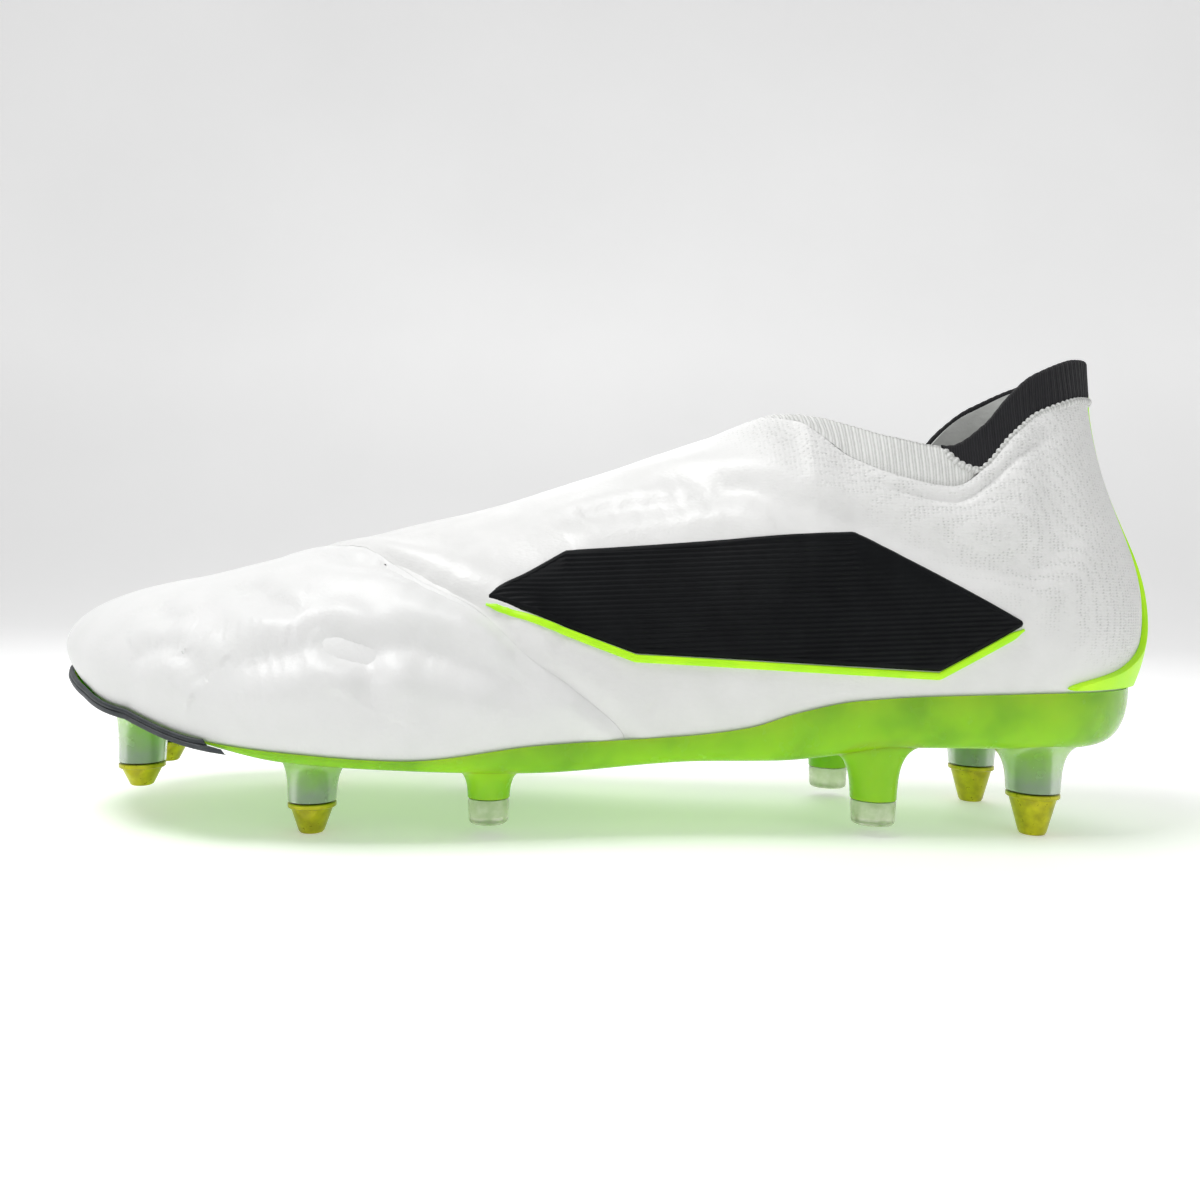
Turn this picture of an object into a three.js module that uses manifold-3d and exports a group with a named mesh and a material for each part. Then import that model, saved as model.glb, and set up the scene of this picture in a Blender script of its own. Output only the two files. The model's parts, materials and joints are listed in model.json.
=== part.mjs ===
// Laceless soft-ground soccer cleat for the left foot, in millimetres.
// X runs from the toe (-) to the heel (+), Y from the outer side of the foot (-) to the
// inner side (+), and Z up from the ground that the studs stand on.
import * as THREE from "three";
import { mergeVertices } from "three/addons/utils/BufferGeometryUtils.js";
import Module from "manifold-3d";

const wasm = await Module();
wasm.setup();

// Overall sizes
const LENGTH = 279.2; // toe to heel of the upper
const BALL_WIDTH = 97; // across the ball of the foot
const TOE_TOP = 59.5; // top of the toe box above the ground
const THROAT_TOP = 105; // front of the collar opening
const COLLAR_LOW = 92.8; // lowest point of the collar's rim, under the ankle
const HEEL_TOP = 118.5; // back of the collar
const COLLAR_WIDTH = 54; // widest part of the collar opening
const BALL_FEATHER = 19.2; // feather line, where the upper meets the plate, at the ball
const TOE_SPRING = 17.4; // rise of the feather line from the ball to the toe
const HEEL_RISE = 17; // rise of the feather line from the ball to the heel
const HEEL_CUP_DEPTH = 12; // feather line down to the seat at the heel
const BALL_DIP = 0.9; // feather line down to the seat at the ball and the toe
const PLATE_CLEARANCE = 15.4; // lowest edge of the plate above the ground

// Layers, from the outside in
const GAP = 0.3; // between pieces that touch
const KNIT_SEAM = 0.6; // between the quarter and the collar knit
const SKIN = 1.4; // leather or knit
const PADDING = 1.6; // foam, toe puff and heel counter
const LINING = 0.7;
const LASTING_MARGIN = 8; // upper turned in under the foot
const BOARD = 1.2;
const SOCKLINER = 3;
const COVER = 0.6;
const HEEL_LIFT = 2.2; // heel cushion under the sockliner
const PLATE = 2.4;
const PLATE_EDGE = 0.6; // plate standing proud of the upper at the feather line
const RIM_HEIGHT = 2.2;
const RIM = 1;
const CUFF_HEIGHT = 10; // collar knit measured down from the rim
const CUFF_PROUD = 0.4; // collar knit thicker than the quarter below it
const ANKLE_PUFF = 2.2; // swelling over the ankle foam
const PANEL = 0.8;
const PIPING = 1.3;
const PIPING_WIDTH = 1.8;
const SPINE = 1;
const SPINE_GAP = 0.85; // glue line under the heel strip
const BADGE = 0.7;

// Studs
const INSERT_RADIUS = 4;
const INSERT_LENGTH = 6.6;
const POST_RADIUS = 2.3; // plain shank at the thread's core
const POST_LENGTH = 5.8; // thread engaged in the insert
const POST_CLEARANCE = 0.35;
const WRENCH_FLAT = 0.8; // depth of each of a metal stud's two wrench flats
const CLEAR_TIP_HEIGHT = 5.8;
const TIP_COLLAR = 1.2; // height of the round collar on top of a metal stud
const TIP_LEDGE = 0.7; // how far the collar stands out over the cone
const POST_SOCKET = 2; // depth of the post's seat in a metal stud
const TIP_ROUND = 0.6; // worn edge of a clear tip's foot
const FLARE_ROOT = 1; // moulded stud's flare run up into the plate

// Places along the foot, as shares of half the length: -1 is the toe and 1 the heel
const HALF = LENGTH / 2;
const TOE_CENTRE = -0.77;
const HEEL_CENTRE = 0.757;
const PADDING_END = -0.12;
const VAMP_END = -0.06;
const THROAT = 0.33;
const CUFF_FRONT = 0.27;
const CUFF_BACK = 0.62; // the black heel collar starts here
const RIM_END = -0.6;

// Levels up the side of the upper: 0 under the foot, 1 at the ridge or the collar rim
const TUCK = 0.08;
const FEATHER = 0.15;
const WIDEST = 0.35;
const CUFF_SEAM = 0.85;
const LINING_BOTTOM = 0.25;
const COUNTER_TOP = 0.52;
const FOAM_BOTTOM = 0.53;
const FOAM_TOP = 0.7;

const LATERAL = -1;
const MEDIAL = 1;

const COLOURS = {
  leather: [0xf1f2f0, 0.38, 0],
  knit: [0xeeefec, 0.7, 0],
  black_knit: [0x15161a, 0.85, 0],
  black_rubber: [0x17191c, 0.5, 0],
  lime: [0xb4ee0a, 0.45, 0],
  plate: [0x8ccc14, 0.3, 0],
  rim: [0x2f373b, 0.5, 0],
  stud_base: [0x84a878, 0.3, 0],
  stud_metal: [0xa9a41a, 0.35, 0.9],
  steel: [0xb9bcc0, 0.35, 1],
  brass: [0xb58f3c, 0.4, 1],
  clear: [0xdfe8dc, 0.1, 0],
  foam: [0xdcdcd2, 0.95, 0],
  lining: [0xd9dad6, 0.9, 0],
  board: [0xcfc7b4, 0.9, 0],
  stiffener: [0xc8ccd0, 0.6, 0],
  cover: [0x23262b, 0.85, 0],
};

// ---- Curves -----------------------------------------------------------------------------

// A smooth curve through [place, value] points that never overshoots them, level at both
// ends, so that the two sides of the shoe meet smoothly at the toe and at the heel.
function through(points) {
  const slope = points.slice(1).map(([x, y], i) => (y - points[i][1]) / (x - points[i][0]));
  const tangent = points.map((_, i) => {
    const before = slope[i - 1];
    const after = slope[i];
    return before * after > 0 ? (2 * before * after) / (before + after) : 0;
  });
  return (at) => {
    if (at <= points[0][0]) return points[0][1];
    const i = points.findIndex(([x]) => x >= at);
    if (i < 0) return points[points.length - 1][1];
    const [x0, y0] = points[i - 1];
    const [x1, y1] = points[i];
    const w = x1 - x0;
    const t = (at - x0) / w;
    const s = 1 - t;
    const ease = t * t * (3 - 2 * t);
    return y0 * (1 - ease) + y1 * ease + w * t * s * (s * tangent[i - 1] - t * tangent[i]);
  };
}

function bezier(p0, p1, p2, p3, t) {
  const s = 1 - t;
  const weights = [s * s * s, 3 * s * s * t, 3 * s * t * t, t * t * t];
  return [0, 1].map((k) => [p0, p1, p2, p3].reduce((sum, p, i) => sum + weights[i] * p[k], 0));
}

const hump = (x) => Math.exp(-x * x);

// ---- Shape of the last ------------------------------------------------------------------

const share = (table, size) => through(table.map(([at, value]) => [at, value * size]));

// Centre line of the forefoot, which leans to the inner side
const centreLine = share([[TOE_CENTRE, 0.05], [0, 0.05], [THROAT, 0.012], [0.5, 0]], BALL_WIDTH);

// Feather line's distance from the centre line, on the outer and the inner side
const FOOT_OUTLINE = {
  [LATERAL]: share([
    [-1, 0.302], [-0.9, 0.31], [-0.84, 0.34], [TOE_CENTRE, 0.42], [-0.64, 0.495], [-0.47, 0.53],
    [-0.3, 0.508], [0, 0.425], [0.2, 0.375], [0.4, 0.352], [0.65, 0.34], [0.8, 0.322], [1, 0.31],
  ], BALL_WIDTH),
  [MEDIAL]: share([
    [-1, 0.302], [-0.88, 0.312], [TOE_CENTRE, 0.345], [-0.64, 0.405], [-0.53, 0.43],
    [-0.38, 0.41], [-0.2, 0.35], [0, 0.3], [0.15, 0.285], [0.35, 0.303], [0.6, 0.335],
    [HEEL_CENTRE, 0.325], [1, 0.31],
  ], BALL_WIDTH),
};

const toeward = (part) => BALL_FEATHER + part * TOE_SPRING;
const heelward = (part) => BALL_FEATHER + part * HEEL_RISE;
const featherHeight = through([
  [-1, toeward(1)], [-0.87, toeward(0.82)], [TOE_CENTRE, toeward(0.52)], [-0.62, toeward(0.2)],
  [-0.48, toeward(0.09)], [-0.3, toeward(0)], [-0.1, heelward(0.18)], [0.15, heelward(0.31)],
  [0.25, heelward(0.43)], [THROAT, heelward(0.64)], [0.43, heelward(0.82)],
  [0.58, heelward(0.91)], [1, heelward(1)],
]);

// The seat under the foot lies a little below the feather line, and deep in the heel cup.
const heelSeat = heelward(1) - HEEL_CUP_DEPTH;
const cupped = (part) => BALL_FEATHER - BALL_DIP + part * (heelSeat - BALL_FEATHER + BALL_DIP);
const seatHeight = through([
  [-1, toeward(1) - BALL_DIP], [-0.87, toeward(0.82) - BALL_DIP],
  [TOE_CENTRE, toeward(0.52) - BALL_DIP], [-0.62, toeward(0.2) - BALL_DIP],
  [-0.48, toeward(0.08) - BALL_DIP], [-0.3, cupped(0)], [-0.1, cupped(0.22)],
  [0.15, cupped(0.48)], [THROAT, cupped(0.83)], [0.5, heelSeat], [1, heelSeat],
]);

// Swelling of the upper beyond the feather line, and its height above it
const bulge = through([[-1, 2.6], [-0.7, 2], [0, 2], [0.4, 2.2], [0.8, 3], [1, 3.4]]);
const bulgeRise = through([[-1, 6], [TOE_CENTRE, 8], [-0.5, 11], [0.2, 12], [0.6, 14], [1, 17]]);

// Top of the upper: the ridge of the forefoot, then the collar's rim
const ridge = (part) => TOE_TOP + part * (THROAT_TOP - TOE_TOP);
const rimRise = (part) => COLLAR_LOW + part * (HEEL_TOP - COLLAR_LOW);
const ridgeHeight = through([
  [-0.94, ridge(-0.08)], [TOE_CENTRE, ridge(0)], [-0.58, ridge(0.15)], [-0.38, ridge(0.31)],
  [-0.19, ridge(0.465)], [0, ridge(0.66)], [0.19, ridge(0.86)], [THROAT, ridge(1)],
  [0.37, THROAT_TOP * 0.82 + COLLAR_LOW * 0.18], [0.43, THROAT_TOP / 2 + COLLAR_LOW / 2],
  [0.51, THROAT_TOP * 0.16 + COLLAR_LOW * 0.84], [0.59, COLLAR_LOW], [0.65, rimRise(0.2)],
  [0.7, rimRise(0.5)], [HEEL_CENTRE, rimRise(0.74)], [0.86, rimRise(0.93)], [1, HEEL_TOP],
]);
const topHeight = (s) => ridgeHeight(Math.max(s, TOE_CENTRE));
const ridgeSlope = (s) => {
  const step = 0.01;
  return (ridgeHeight(s + step) - ridgeHeight(s - step)) / (2 * step * HALF);
};

// Half width of the collar opening, and how steeply the upper meets its rim, in degrees
const collarReach = share([
  [THROAT, 0], [0.36, 0.2], [0.43, 0.38], [0.51, 0.47], [0.6, 0.5], [0.7, 0.45],
  [HEEL_CENTRE, 0.39], [0.86, 0.36], [1, 0.37],
], COLLAR_WIDTH);
const rimSteepness = through([[THROAT, 0], [0.43, 50], [0.51, 65], [0.6, 73], [0.75, 80], [1, 88]]);

// Fullness of the side below and above: a share of the distance from bulge to top
const belly = through([[-1, 0.22], [TOE_CENTRE, 0.24], [-0.4, 0.3], [0.2, 0.36], [1, 0.32]]);
const shoulder = through([
  [-1, 0.5], [TOE_CENTRE, 0.46], [-0.4, 0.38], [0.2, 0.26], [0.5, 0.34], [1, 0.58],
]);

// The instep in front of the collar is as broad as the opening behind it: a share of the
// opening's half width that the shoulder of the side stands further out by.
const FRONT_REACH = COLLAR_WIDTH * 0.38;
const crown = through([[-0.1, 0], [0.15, 0.2], [THROAT, 0.5], [0.37, 0.22], [0.43, 0]]);

// A slice of the last at place s on one side: where it stands in plan and which way it faces.
// Slices fan out around the toe and round the heel, and are square to X in between.
function slicePlan(side, s) {
  const centre = Math.min(Math.max(s, TOE_CENTRE), HEEL_CENTRE);
  const end = s < centre ? -1 : 1;
  const turn = (s - centre) / Math.abs(end - centre);
  const angle = (turn * Math.PI) / 2;
  return {
    x: centre * HALF,
    y: centreLine(centre),
    facing: [Math.sin(angle), side * Math.cos(angle)],
  };
}

// Point of a slice at level v, as its distance from the centre line and its height.
function sliceProfile(side, s, v) {
  const feather = [FOOT_OUTLINE[side](s), featherHeight(s)];
  const widest = [feather[0] + bulge(s), feather[1] + bulgeRise(s)];
  if (v < FEATHER) {
    const seat = [feather[0] - LASTING_MARGIN, seatHeight(s)];
    const drop = feather[1] - seat[1];
    const out = [seat[0] + LASTING_MARGIN * 0.6, seat[1]];
    const down = [feather[0] - 0.1 * drop, feather[1] - 0.55 * drop];
    return bezier(seat, out, down, feather, v / FEATHER);
  }
  if (v < WIDEST) {
    const rise = bulgeRise(s);
    const above = [feather[0] + 0.5 * bulge(s), feather[1] + 0.25 * rise];
    const below = [widest[0], widest[1] - 0.4 * rise];
    return bezier(feather, above, below, widest, (v - FEATHER) / (WIDEST - FEATHER));
  }
  const top = [collarReach(s), topHeight(s)];
  const span = Math.hypot(widest[0] - top[0], top[1] - widest[1]);
  const steep = (rimSteepness(s) * Math.PI) / 180;
  const inward = shoulder(s) * span;
  const tilt = s < TOE_CENTRE ? ridgeSlope(TOE_CENTRE) * slicePlan(side, s).facing[0] : 0;
  const sideHandle = [widest[0], widest[1] + belly(s) * span];
  const topHandle = [
    top[0] + inward * Math.cos(steep) + crown(s) * Math.max(0, FRONT_REACH - top[0]),
    top[1] - inward * Math.sin(steep) + inward * tilt,
  ];
  // The last CUFF_HEIGHT below the top is spread evenly over the levels above CUFF_SEAM.
  const cuff = Math.min(0.4, CUFF_HEIGHT / (3 * inward));
  const t = v < CUFF_SEAM
    ? ((v - WIDEST) / (CUFF_SEAM - WIDEST)) * (1 - cuff)
    : 1 - cuff * ((1 - v) / (1 - CUFF_SEAM));
  return bezier(widest, sideHandle, topHandle, top, t);
}

// Once round the shoe, u runs 0 to 1 from toe to heel on the outer side and on to 2, back at
// the toe, on the inner side.
function around(u) {
  const turn = ((u % 2) + 2) % 2;
  return turn <= 1 ? { side: LATERAL, s: 2 * turn - 1 } : { side: MEDIAL, s: 3 - 2 * turn };
}

function lastPoint(u, v) {
  const { side, s } = around(u);
  const { x, y, facing } = slicePlan(side, s);
  const [reach, height] = sliceProfile(side, s, v);
  return new THREE.Vector3(x + facing[0] * reach, y + facing[1] * reach, height);
}

// The two sides share one line of points along the ridge, where the normal is the ridge's own.
const onRidge = (s, v) => v >= 1 && s < THROAT + 1e-6;

function lastNormal(u, v) {
  const { s } = around(u);
  if (onRidge(s, v)) {
    return new THREE.Vector3(-ridgeSlope(Math.max(s, TOE_CENTRE)), 0, 1).normalize();
  }
  const du = 0.004;
  const dv = 0.01;
  const along = lastPoint(u + du, v).sub(lastPoint(u - du, v));
  const up = lastPoint(u, Math.min(1, v + dv)).sub(lastPoint(u, Math.max(0, v - dv)));
  return along.cross(up).normalize();
}

// A point standing out from the last's surface by depth, or in from it if depth is negative.
function lastOffset(u, v, depth) {
  return lastPoint(u, v).addScaledVector(lastNormal(u, v), depth);
}

// A point under the foot: q runs from 0 on the centre line to 1 at distance reach from it.
function seatPoint(u, q, inset, lift) {
  const { side, s } = around(u);
  const { x, y, facing } = slicePlan(side, s);
  const outline = FOOT_OUTLINE[side](s);
  const reach = (outline - inset) * q;
  const spread = reach / (outline - LASTING_MARGIN);
  const middle = seatHeight(Math.min(Math.max(s, TOE_CENTRE), HEEL_CENTRE));
  const height = middle + (seatHeight(s) - middle) * spread * spread + lift;
  return new THREE.Vector3(x + facing[0] * reach, y + facing[1] * reach, height);
}

// ---- Meshes -----------------------------------------------------------------------------

// Grid lines once round the shoe. A seam between two pieces is a pair of lines a gap apart.
const seam = (s) => [s - GAP / 2 / HALF, s + GAP / 2 / HALF];
const PLACES = [
  -1, -0.943, -0.885, -0.828, TOE_CENTRE, -0.69, ...seam(RIM_END), -0.5, -0.4, -0.3, -0.2,
  PADDING_END, ...seam(VAMP_END), 0.05, 0.16, ...seam(CUFF_FRONT), THROAT, 0.36, 0.41, 0.48,
  0.55, ...seam(CUFF_BACK), 0.69, HEEL_CENTRE, 0.818, 0.878, 0.939, 1,
];
const LINES = [
  ...PLACES.map((s) => (s + 1) / 2),
  ...PLACES.slice(1, -1).reverse().map((s) => (3 - s) / 2),
];

const levelGap = (KNIT_SEAM / CUFF_HEIGHT) * (1 - CUFF_SEAM);
const LEVELS = [
  0, TUCK, FEATHER, LINING_BOTTOM, WIDEST, COUNTER_TOP, FOAM_BOTTOM, FOAM_TOP, CUFF_SEAM - levelGap / 2,
  CUFF_SEAM + levelGap / 2, 0.92, 1,
];

// Cells of a grid of lines and levels whose middle passes the test keep(side, s, v).
function gridCells(lines, levels, keep, closed = true) {
  const cells = [];
  const count = closed ? lines.length : lines.length - 1;
  for (let i = 0; i < count; i++) {
    const u0 = lines[i];
    const u1 = i + 1 < lines.length ? lines[i + 1] : lines[0] + 2;
    const { side, s } = around((u0 + u1) / 2);
    for (let j = 0; j + 1 < levels.length; j++) {
      const v0 = levels[j];
      const v1 = levels[j + 1];
      if (keep(side, s, (v0 + v1) / 2)) {
        cells.push([[u0, v0], [u1, v0], [u1, v1], [u0, v1]]);
      }
    }
  }
  return cells;
}

// The solid between two surfaces over the same cells, closed by walls round their edge.
function solidBetween(cells, outer, inner) {
  const found = new Map();
  const outside = [];
  const inside = [];
  const corner = ([u, v]) => {
    const p = outer(u, v);
    const key = p.toArray().map((c) => Math.round(c * 1e3)).join();
    if (!found.has(key)) {
      found.set(key, outside.length);
      outside.push(p);
      inside.push(inner(u, v));
    }
    return found.get(key);
  };
  const faces = [];
  for (const cell of cells) {
    const [a, b, c, d] = cell.map(corner);
    for (const face of [[a, b, c], [a, c, d]]) {
      if (new Set(face).size === 3) faces.push(face);
    }
  }
  const edges = new Set(faces.flatMap(([a, b, c]) => [`${a},${b}`, `${b},${c}`, `${c},${a}`]));
  const count = outside.length;
  const all = faces.flatMap(([a, b, c]) => [[a, b, c], [a + count, c + count, b + count]]);
  for (const edge of edges) {
    const [a, b] = edge.split(",").map(Number);
    if (!edges.has(`${b},${a}`)) all.push([b, a, a + count], [b, a + count, b + count]);
  }
  const geometry = new THREE.BufferGeometry();
  const points = [...outside, ...inside].flatMap((p) => p.toArray());
  geometry.setAttribute("position", new THREE.Float32BufferAttribute(points, 3));
  geometry.setIndex(facingOut(points, all).flat());
  return geometry;
}

// Faces turned round, if need be, so that they face out of the solid.
function facingOut(points, faces) {
  const at = (i) => new THREE.Vector3().fromArray(points, 3 * i);
  const volume = faces.reduce((sum, [a, b, c]) => sum + at(a).dot(at(b).cross(at(c))), 0);
  return volume > 0 ? faces : faces.map(([a, b, c]) => [a, c, b]);
}

function toSolid(geometry) {
  const bare = geometry.clone();
  bare.deleteAttribute("normal");
  bare.deleteAttribute("uv");
  const merged = mergeVertices(bare, 1e-4);
  const mesh = new wasm.Mesh({
    numProp: 3,
    vertProperties: merged.attributes.position.array,
    triVerts: new Uint32Array(merged.index.array),
  });
  return new wasm.Manifold(mesh);
}

function toGeometry(solid) {
  const mesh = solid.getMesh();
  const geometry = new THREE.BufferGeometry();
  geometry.setAttribute("position", new THREE.BufferAttribute(mesh.vertProperties, 3));
  geometry.setIndex(new THREE.BufferAttribute(mesh.triVerts, 1));
  return geometry;
}

const shoe = new THREE.Group();

function addPiece(name, geometry, colour, parent = shoe) {
  const [color, roughness, metalness] = COLOURS[colour];
  const material = new THREE.MeshStandardMaterial({ color, roughness, metalness });
  const mesh = new THREE.Mesh(geometry, material);
  mesh.name = name;
  parent.add(mesh);
  return mesh;
}

// A layer of the upper between two depths, over the cells that pass the test.
function addLayer(name, colour, keep, outerDepth, innerDepth) {
  const cells = gridCells(LINES, LEVELS, keep);
  const outer = (u, v) => lastOffset(u, v, outerDepth(u, v));
  const inner = (u, v) => lastOffset(u, v, innerDepth(u, v));
  addPiece(name, solidBetween(cells, outer, inner), colour);
}

const between = (x, [low, high]) => x > low && x < high;
const notSeam = (x, at) => Math.abs(x - at) > GAP / HALF;
const always = (depth) => () => depth;

// ---- Upper ------------------------------------------------------------------------------

// Soft swelling over the ankle foam, below the collar on both sides.
const PUFF = { place: 0.7, level: 0.72, length: 0.13, height: 0.13 };
function puff(u, v) {
  const { s } = around(u);
  const across = (s - PUFF.place) / PUFF.length;
  const up = (v - PUFF.level) / PUFF.height;
  return ANKLE_PUFF * hump(Math.hypot(across, up));
}

const isCuff = (s, v) => v > CUFF_SEAM && between(s, [CUFF_FRONT, CUFF_BACK]);
const isHeelCollar = (s, v) => v > CUFF_SEAM && s > CUFF_BACK;
const cuffOut = always(CUFF_PROUD);
const cuffIn = always(-SKIN);

// Depth at which the lining starts: deep over padding, foam and counter, shallow elsewhere.
const liningRow = through([[-0.1, 1], [0.06, 0], [0.45, 0], [0.6, 1]]);
const liningFade = through([[0.75, 1], [CUFF_SEAM, 0]]);
function liningDepth(u, v) {
  const { s } = around(u);
  const fade = s > THROAT ? liningFade(v) : 1;
  return -(SKIN + GAP + (PADDING + GAP) * liningRow(s) * fade);
}

function addUpper() {
  const outside = (u, v) => puff(u, v);
  const inside = (u, v) => puff(u, v) - SKIN;
  const vamp = (side, s) => s < VAMP_END && notSeam(s, VAMP_END);
  addLayer("vamp", "leather", vamp, always(0), always(-SKIN));
  const quarter = (side, s, v) =>
    s > VAMP_END && notSeam(s, VAMP_END) && !isCollarZone(s, v);
  addLayer("knit_quarter", "knit", quarter, outside, inside);
  const cuff = (side, s, v) => isCuff(s, v) && offSeams(s, v);
  addLayer("collar_cuff", "knit", cuff, cuffOut, cuffIn);
  const heelCollar = (side, s, v) => isHeelCollar(s, v) && offSeams(s, v);
  addLayer("heel_collar", "black_knit", heelCollar, cuffOut, cuffIn);
}

// The collar pieces and the slits round them, which no part of the quarter fills.
const offSeams = (s, v) =>
  notSeam(s, CUFF_FRONT) && notSeam(s, CUFF_BACK) && Math.abs(v - CUFF_SEAM) > levelGap;
const isCollarZone = (s, v) =>
  v > CUFF_SEAM - levelGap && s > CUFF_FRONT - GAP / HALF;

function addInnerLayers() {
  const deep = -(SKIN + GAP);
  const under = (u, v) => deep + puff(u, v);
  const pad = always(deep - PADDING);
  const wall = [LINING_BOTTOM, 1];
  const toePuff = (side, s, v) => s < TOE_CENTRE && between(v, wall);
  addLayer("toe_puff", "stiffener", toePuff, always(deep), pad);
  const padding = (side, s, v) => between(s, [-0.69, PADDING_END]) && between(v, wall);
  addLayer("vamp_padding", "foam", padding, always(deep), pad);
  const vampLining = (side, s, v) =>
    s < VAMP_END && notSeam(s, VAMP_END) && between(v, wall);
  const liningIn = (u, v) => liningDepth(u, v) - LINING;
  addLayer("vamp_lining", "lining", vampLining, liningDepth, liningIn);
  const heelLining = (side, s, v) =>
    s > VAMP_END && notSeam(s, VAMP_END) && between(v, wall);
  addLayer("heel_lining", "lining", heelLining, liningDepth, liningIn);
  const counter = (side, s, v) => s > HEEL_CENTRE && between(v, [LINING_BOTTOM, COUNTER_TOP]);
  addLayer("heel_counter", "stiffener", counter, under, pad);
  const foam = (wanted) => (side, s, v) =>
    side === wanted && between(s, [CUFF_BACK + 0.003, 0.86]) && between(v, [FOAM_BOTTOM, FOAM_TOP]);
  addLayer("ankle_foam_lateral", "foam", foam(LATERAL), under, pad);
  addLayer("ankle_foam_medial", "foam", foam(MEDIAL), under, pad);
}

// ---- Trim on the outside ----------------------------------------------------------------

// Level of the slice at place s whose height is z, found by halving.
function levelAt(side, s, z) {
  let low = FEATHER;
  let high = 1;
  while (high - low > 1e-5) {
    const middle = (low + high) / 2;
    if (sliceProfile(side, s, middle)[1] < z) low = middle;
    else high = middle;
  }
  return low;
}

const toU = (side, s) => (side === LATERAL ? (s + 1) / 2 : (3 - s) / 2);

// Side panel: a long six-cornered outline that rises to the rear with the collar line.
const PANEL_FRONT = -0.19;
const PANEL_BACK = 0.7;
const PANEL_CORNERS = {
  upper: [[PANEL_FRONT, 0.5], [-0.06, 0.74], [0.42, 0.86], [PANEL_BACK, 0.42]],
  lower: [[PANEL_FRONT, 0.5], [0.06, 0.24], [0.56, 0.18], [PANEL_BACK, 0.42]],
};
const PANEL_BASE = 32; // height of share 0
const PANEL_RANGE = 47; // height between shares 0 and 1
function straight(points, at) {
  const i = Math.max(1, points.findIndex(([x]) => x >= at - 1e-9));
  const [x0, y0] = points[i - 1];
  const [x1, y1] = points[i];
  return y0 + ((y1 - y0) * (at - x0)) / (x1 - x0);
}
const panelUpper = (s) => PANEL_BASE + PANEL_RANGE * straight(PANEL_CORNERS.upper, s);
const panelLower = (s) => PANEL_BASE + PANEL_RANGE * straight(PANEL_CORNERS.lower, s);

// A patch on the side of the upper between two height curves, standing out by depths.
function sidePatch(side, places, rows, low, high, depths) {
  const cells = gridCells(places, rows, () => true, false);
  const level = (s, q) => levelAt(side, s, low(s) + q * (high(s) - low(s)));
  const face = (depth) => (s, q) => {
    const u = toU(side, s);
    const v = level(s, q);
    return lastOffset(u, v, depth + puff(u, v));
  };
  return solidBetween(cells, face(depths[1]), face(depths[0]));
}

const steps = (from, to, count) =>
  Array.from({ length: count + 1 }, (_, i) => from + ((to - from) * i) / count);

function addSidePanels() {
  const blunt = 0.012;
  const places = steps(PANEL_FRONT + blunt, PANEL_BACK - blunt, 18);
  const rows = steps(0, 1, 4);
  const edge = GAP + PIPING_WIDTH;
  const pipingTop = (s) => panelLower(s) - GAP;
  const pipingLow = (s) => panelLower(s) - edge;
  for (const [side, label] of [[LATERAL, "lateral"], [MEDIAL, "medial"]]) {
    const panel = sidePatch(side, places, rows, panelLower, panelUpper, [GAP, GAP + PANEL]);
    addPiece(`side_panel_${label}`, panel, "black_rubber");
    const piping = sidePatch(side, places, [0, 1], pipingLow, pipingTop, [GAP, GAP + PIPING]);
    addPiece(`panel_piping_${label}`, piping, "lime");
  }
}

// Heel strip: narrow up the back, with a foot that spreads forward along the plate's edge.
const spineHalfWidth = through([[0.18, 44], [0.24, 24], [0.3, 12], [0.4, 6.5], [0.6, 4], [0.93, 3]]);
function addHeelSpine() {
  const rows = [
    0.17, 0.185, 0.2, 0.22, 0.24, 0.27, 0.3, 0.335, 0.37, 0.41, 0.45, 0.5, 0.55, 0.65, 0.75, 0.83,
  ];
  const columns = steps(-1, 1, 26);
  const girth = Math.PI * FOOT_OUTLINE[LATERAL](1) + 2 * bulge(1);
  const spread = (1 - HEEL_CENTRE) / girth;
  const face = (depth) => (k, v) => lastOffset(1 + k * spread * spineHalfWidth(v), v, depth);
  const cells = gridCells(columns, rows, () => true, false);
  const outer = face(SPINE_GAP + SPINE);
  addPiece("heel_spine", solidBetween(cells, outer, face(SPINE_GAP)), "lime");
}

function addHeelBadge() {
  const rows = [0.37, 0.4, 0.45, 0.48];
  const columns = [-1, 0, 1];
  const ends = { 0.37: 0.6, 0.4: 1, 0.45: 1, 0.48: 0.6 };
  const halfWidth = 0.0075;
  const base = SPINE_GAP + SPINE + GAP;
  const face = (depth) => (k, v) => lastOffset(1 + k * halfWidth * ends[v], v, depth);
  const cells = gridCells(columns, rows, () => true, false);
  addPiece("heel_badge", solidBetween(cells, face(base + BADGE), face(base)), "black_rubber");
}

// ---- Under the foot ---------------------------------------------------------------------

const SEAT_ROWS = [0, 0.55, 1];

// A sheet under the foot from inset inside the feather line, between two heights above the seat.
function addSheet(name, colour, keep, inset, bottom, top) {
  const cells = gridCells(LINES, SEAT_ROWS, keep);
  const face = (lift) => (u, q) => seatPoint(u, q, inset(around(u).s), lift(around(u).s));
  addPiece(name, solidBetween(cells, face(top), face(bottom)), colour);
}

const heelLift = share([[0.2, 0], [0.5, 1]], HEEL_LIFT);
const footInset = through([[-1, 8], [TOE_CENTRE, 6.2], [0, 6.2], [0.4, 9], [1, 9]]);

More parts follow.
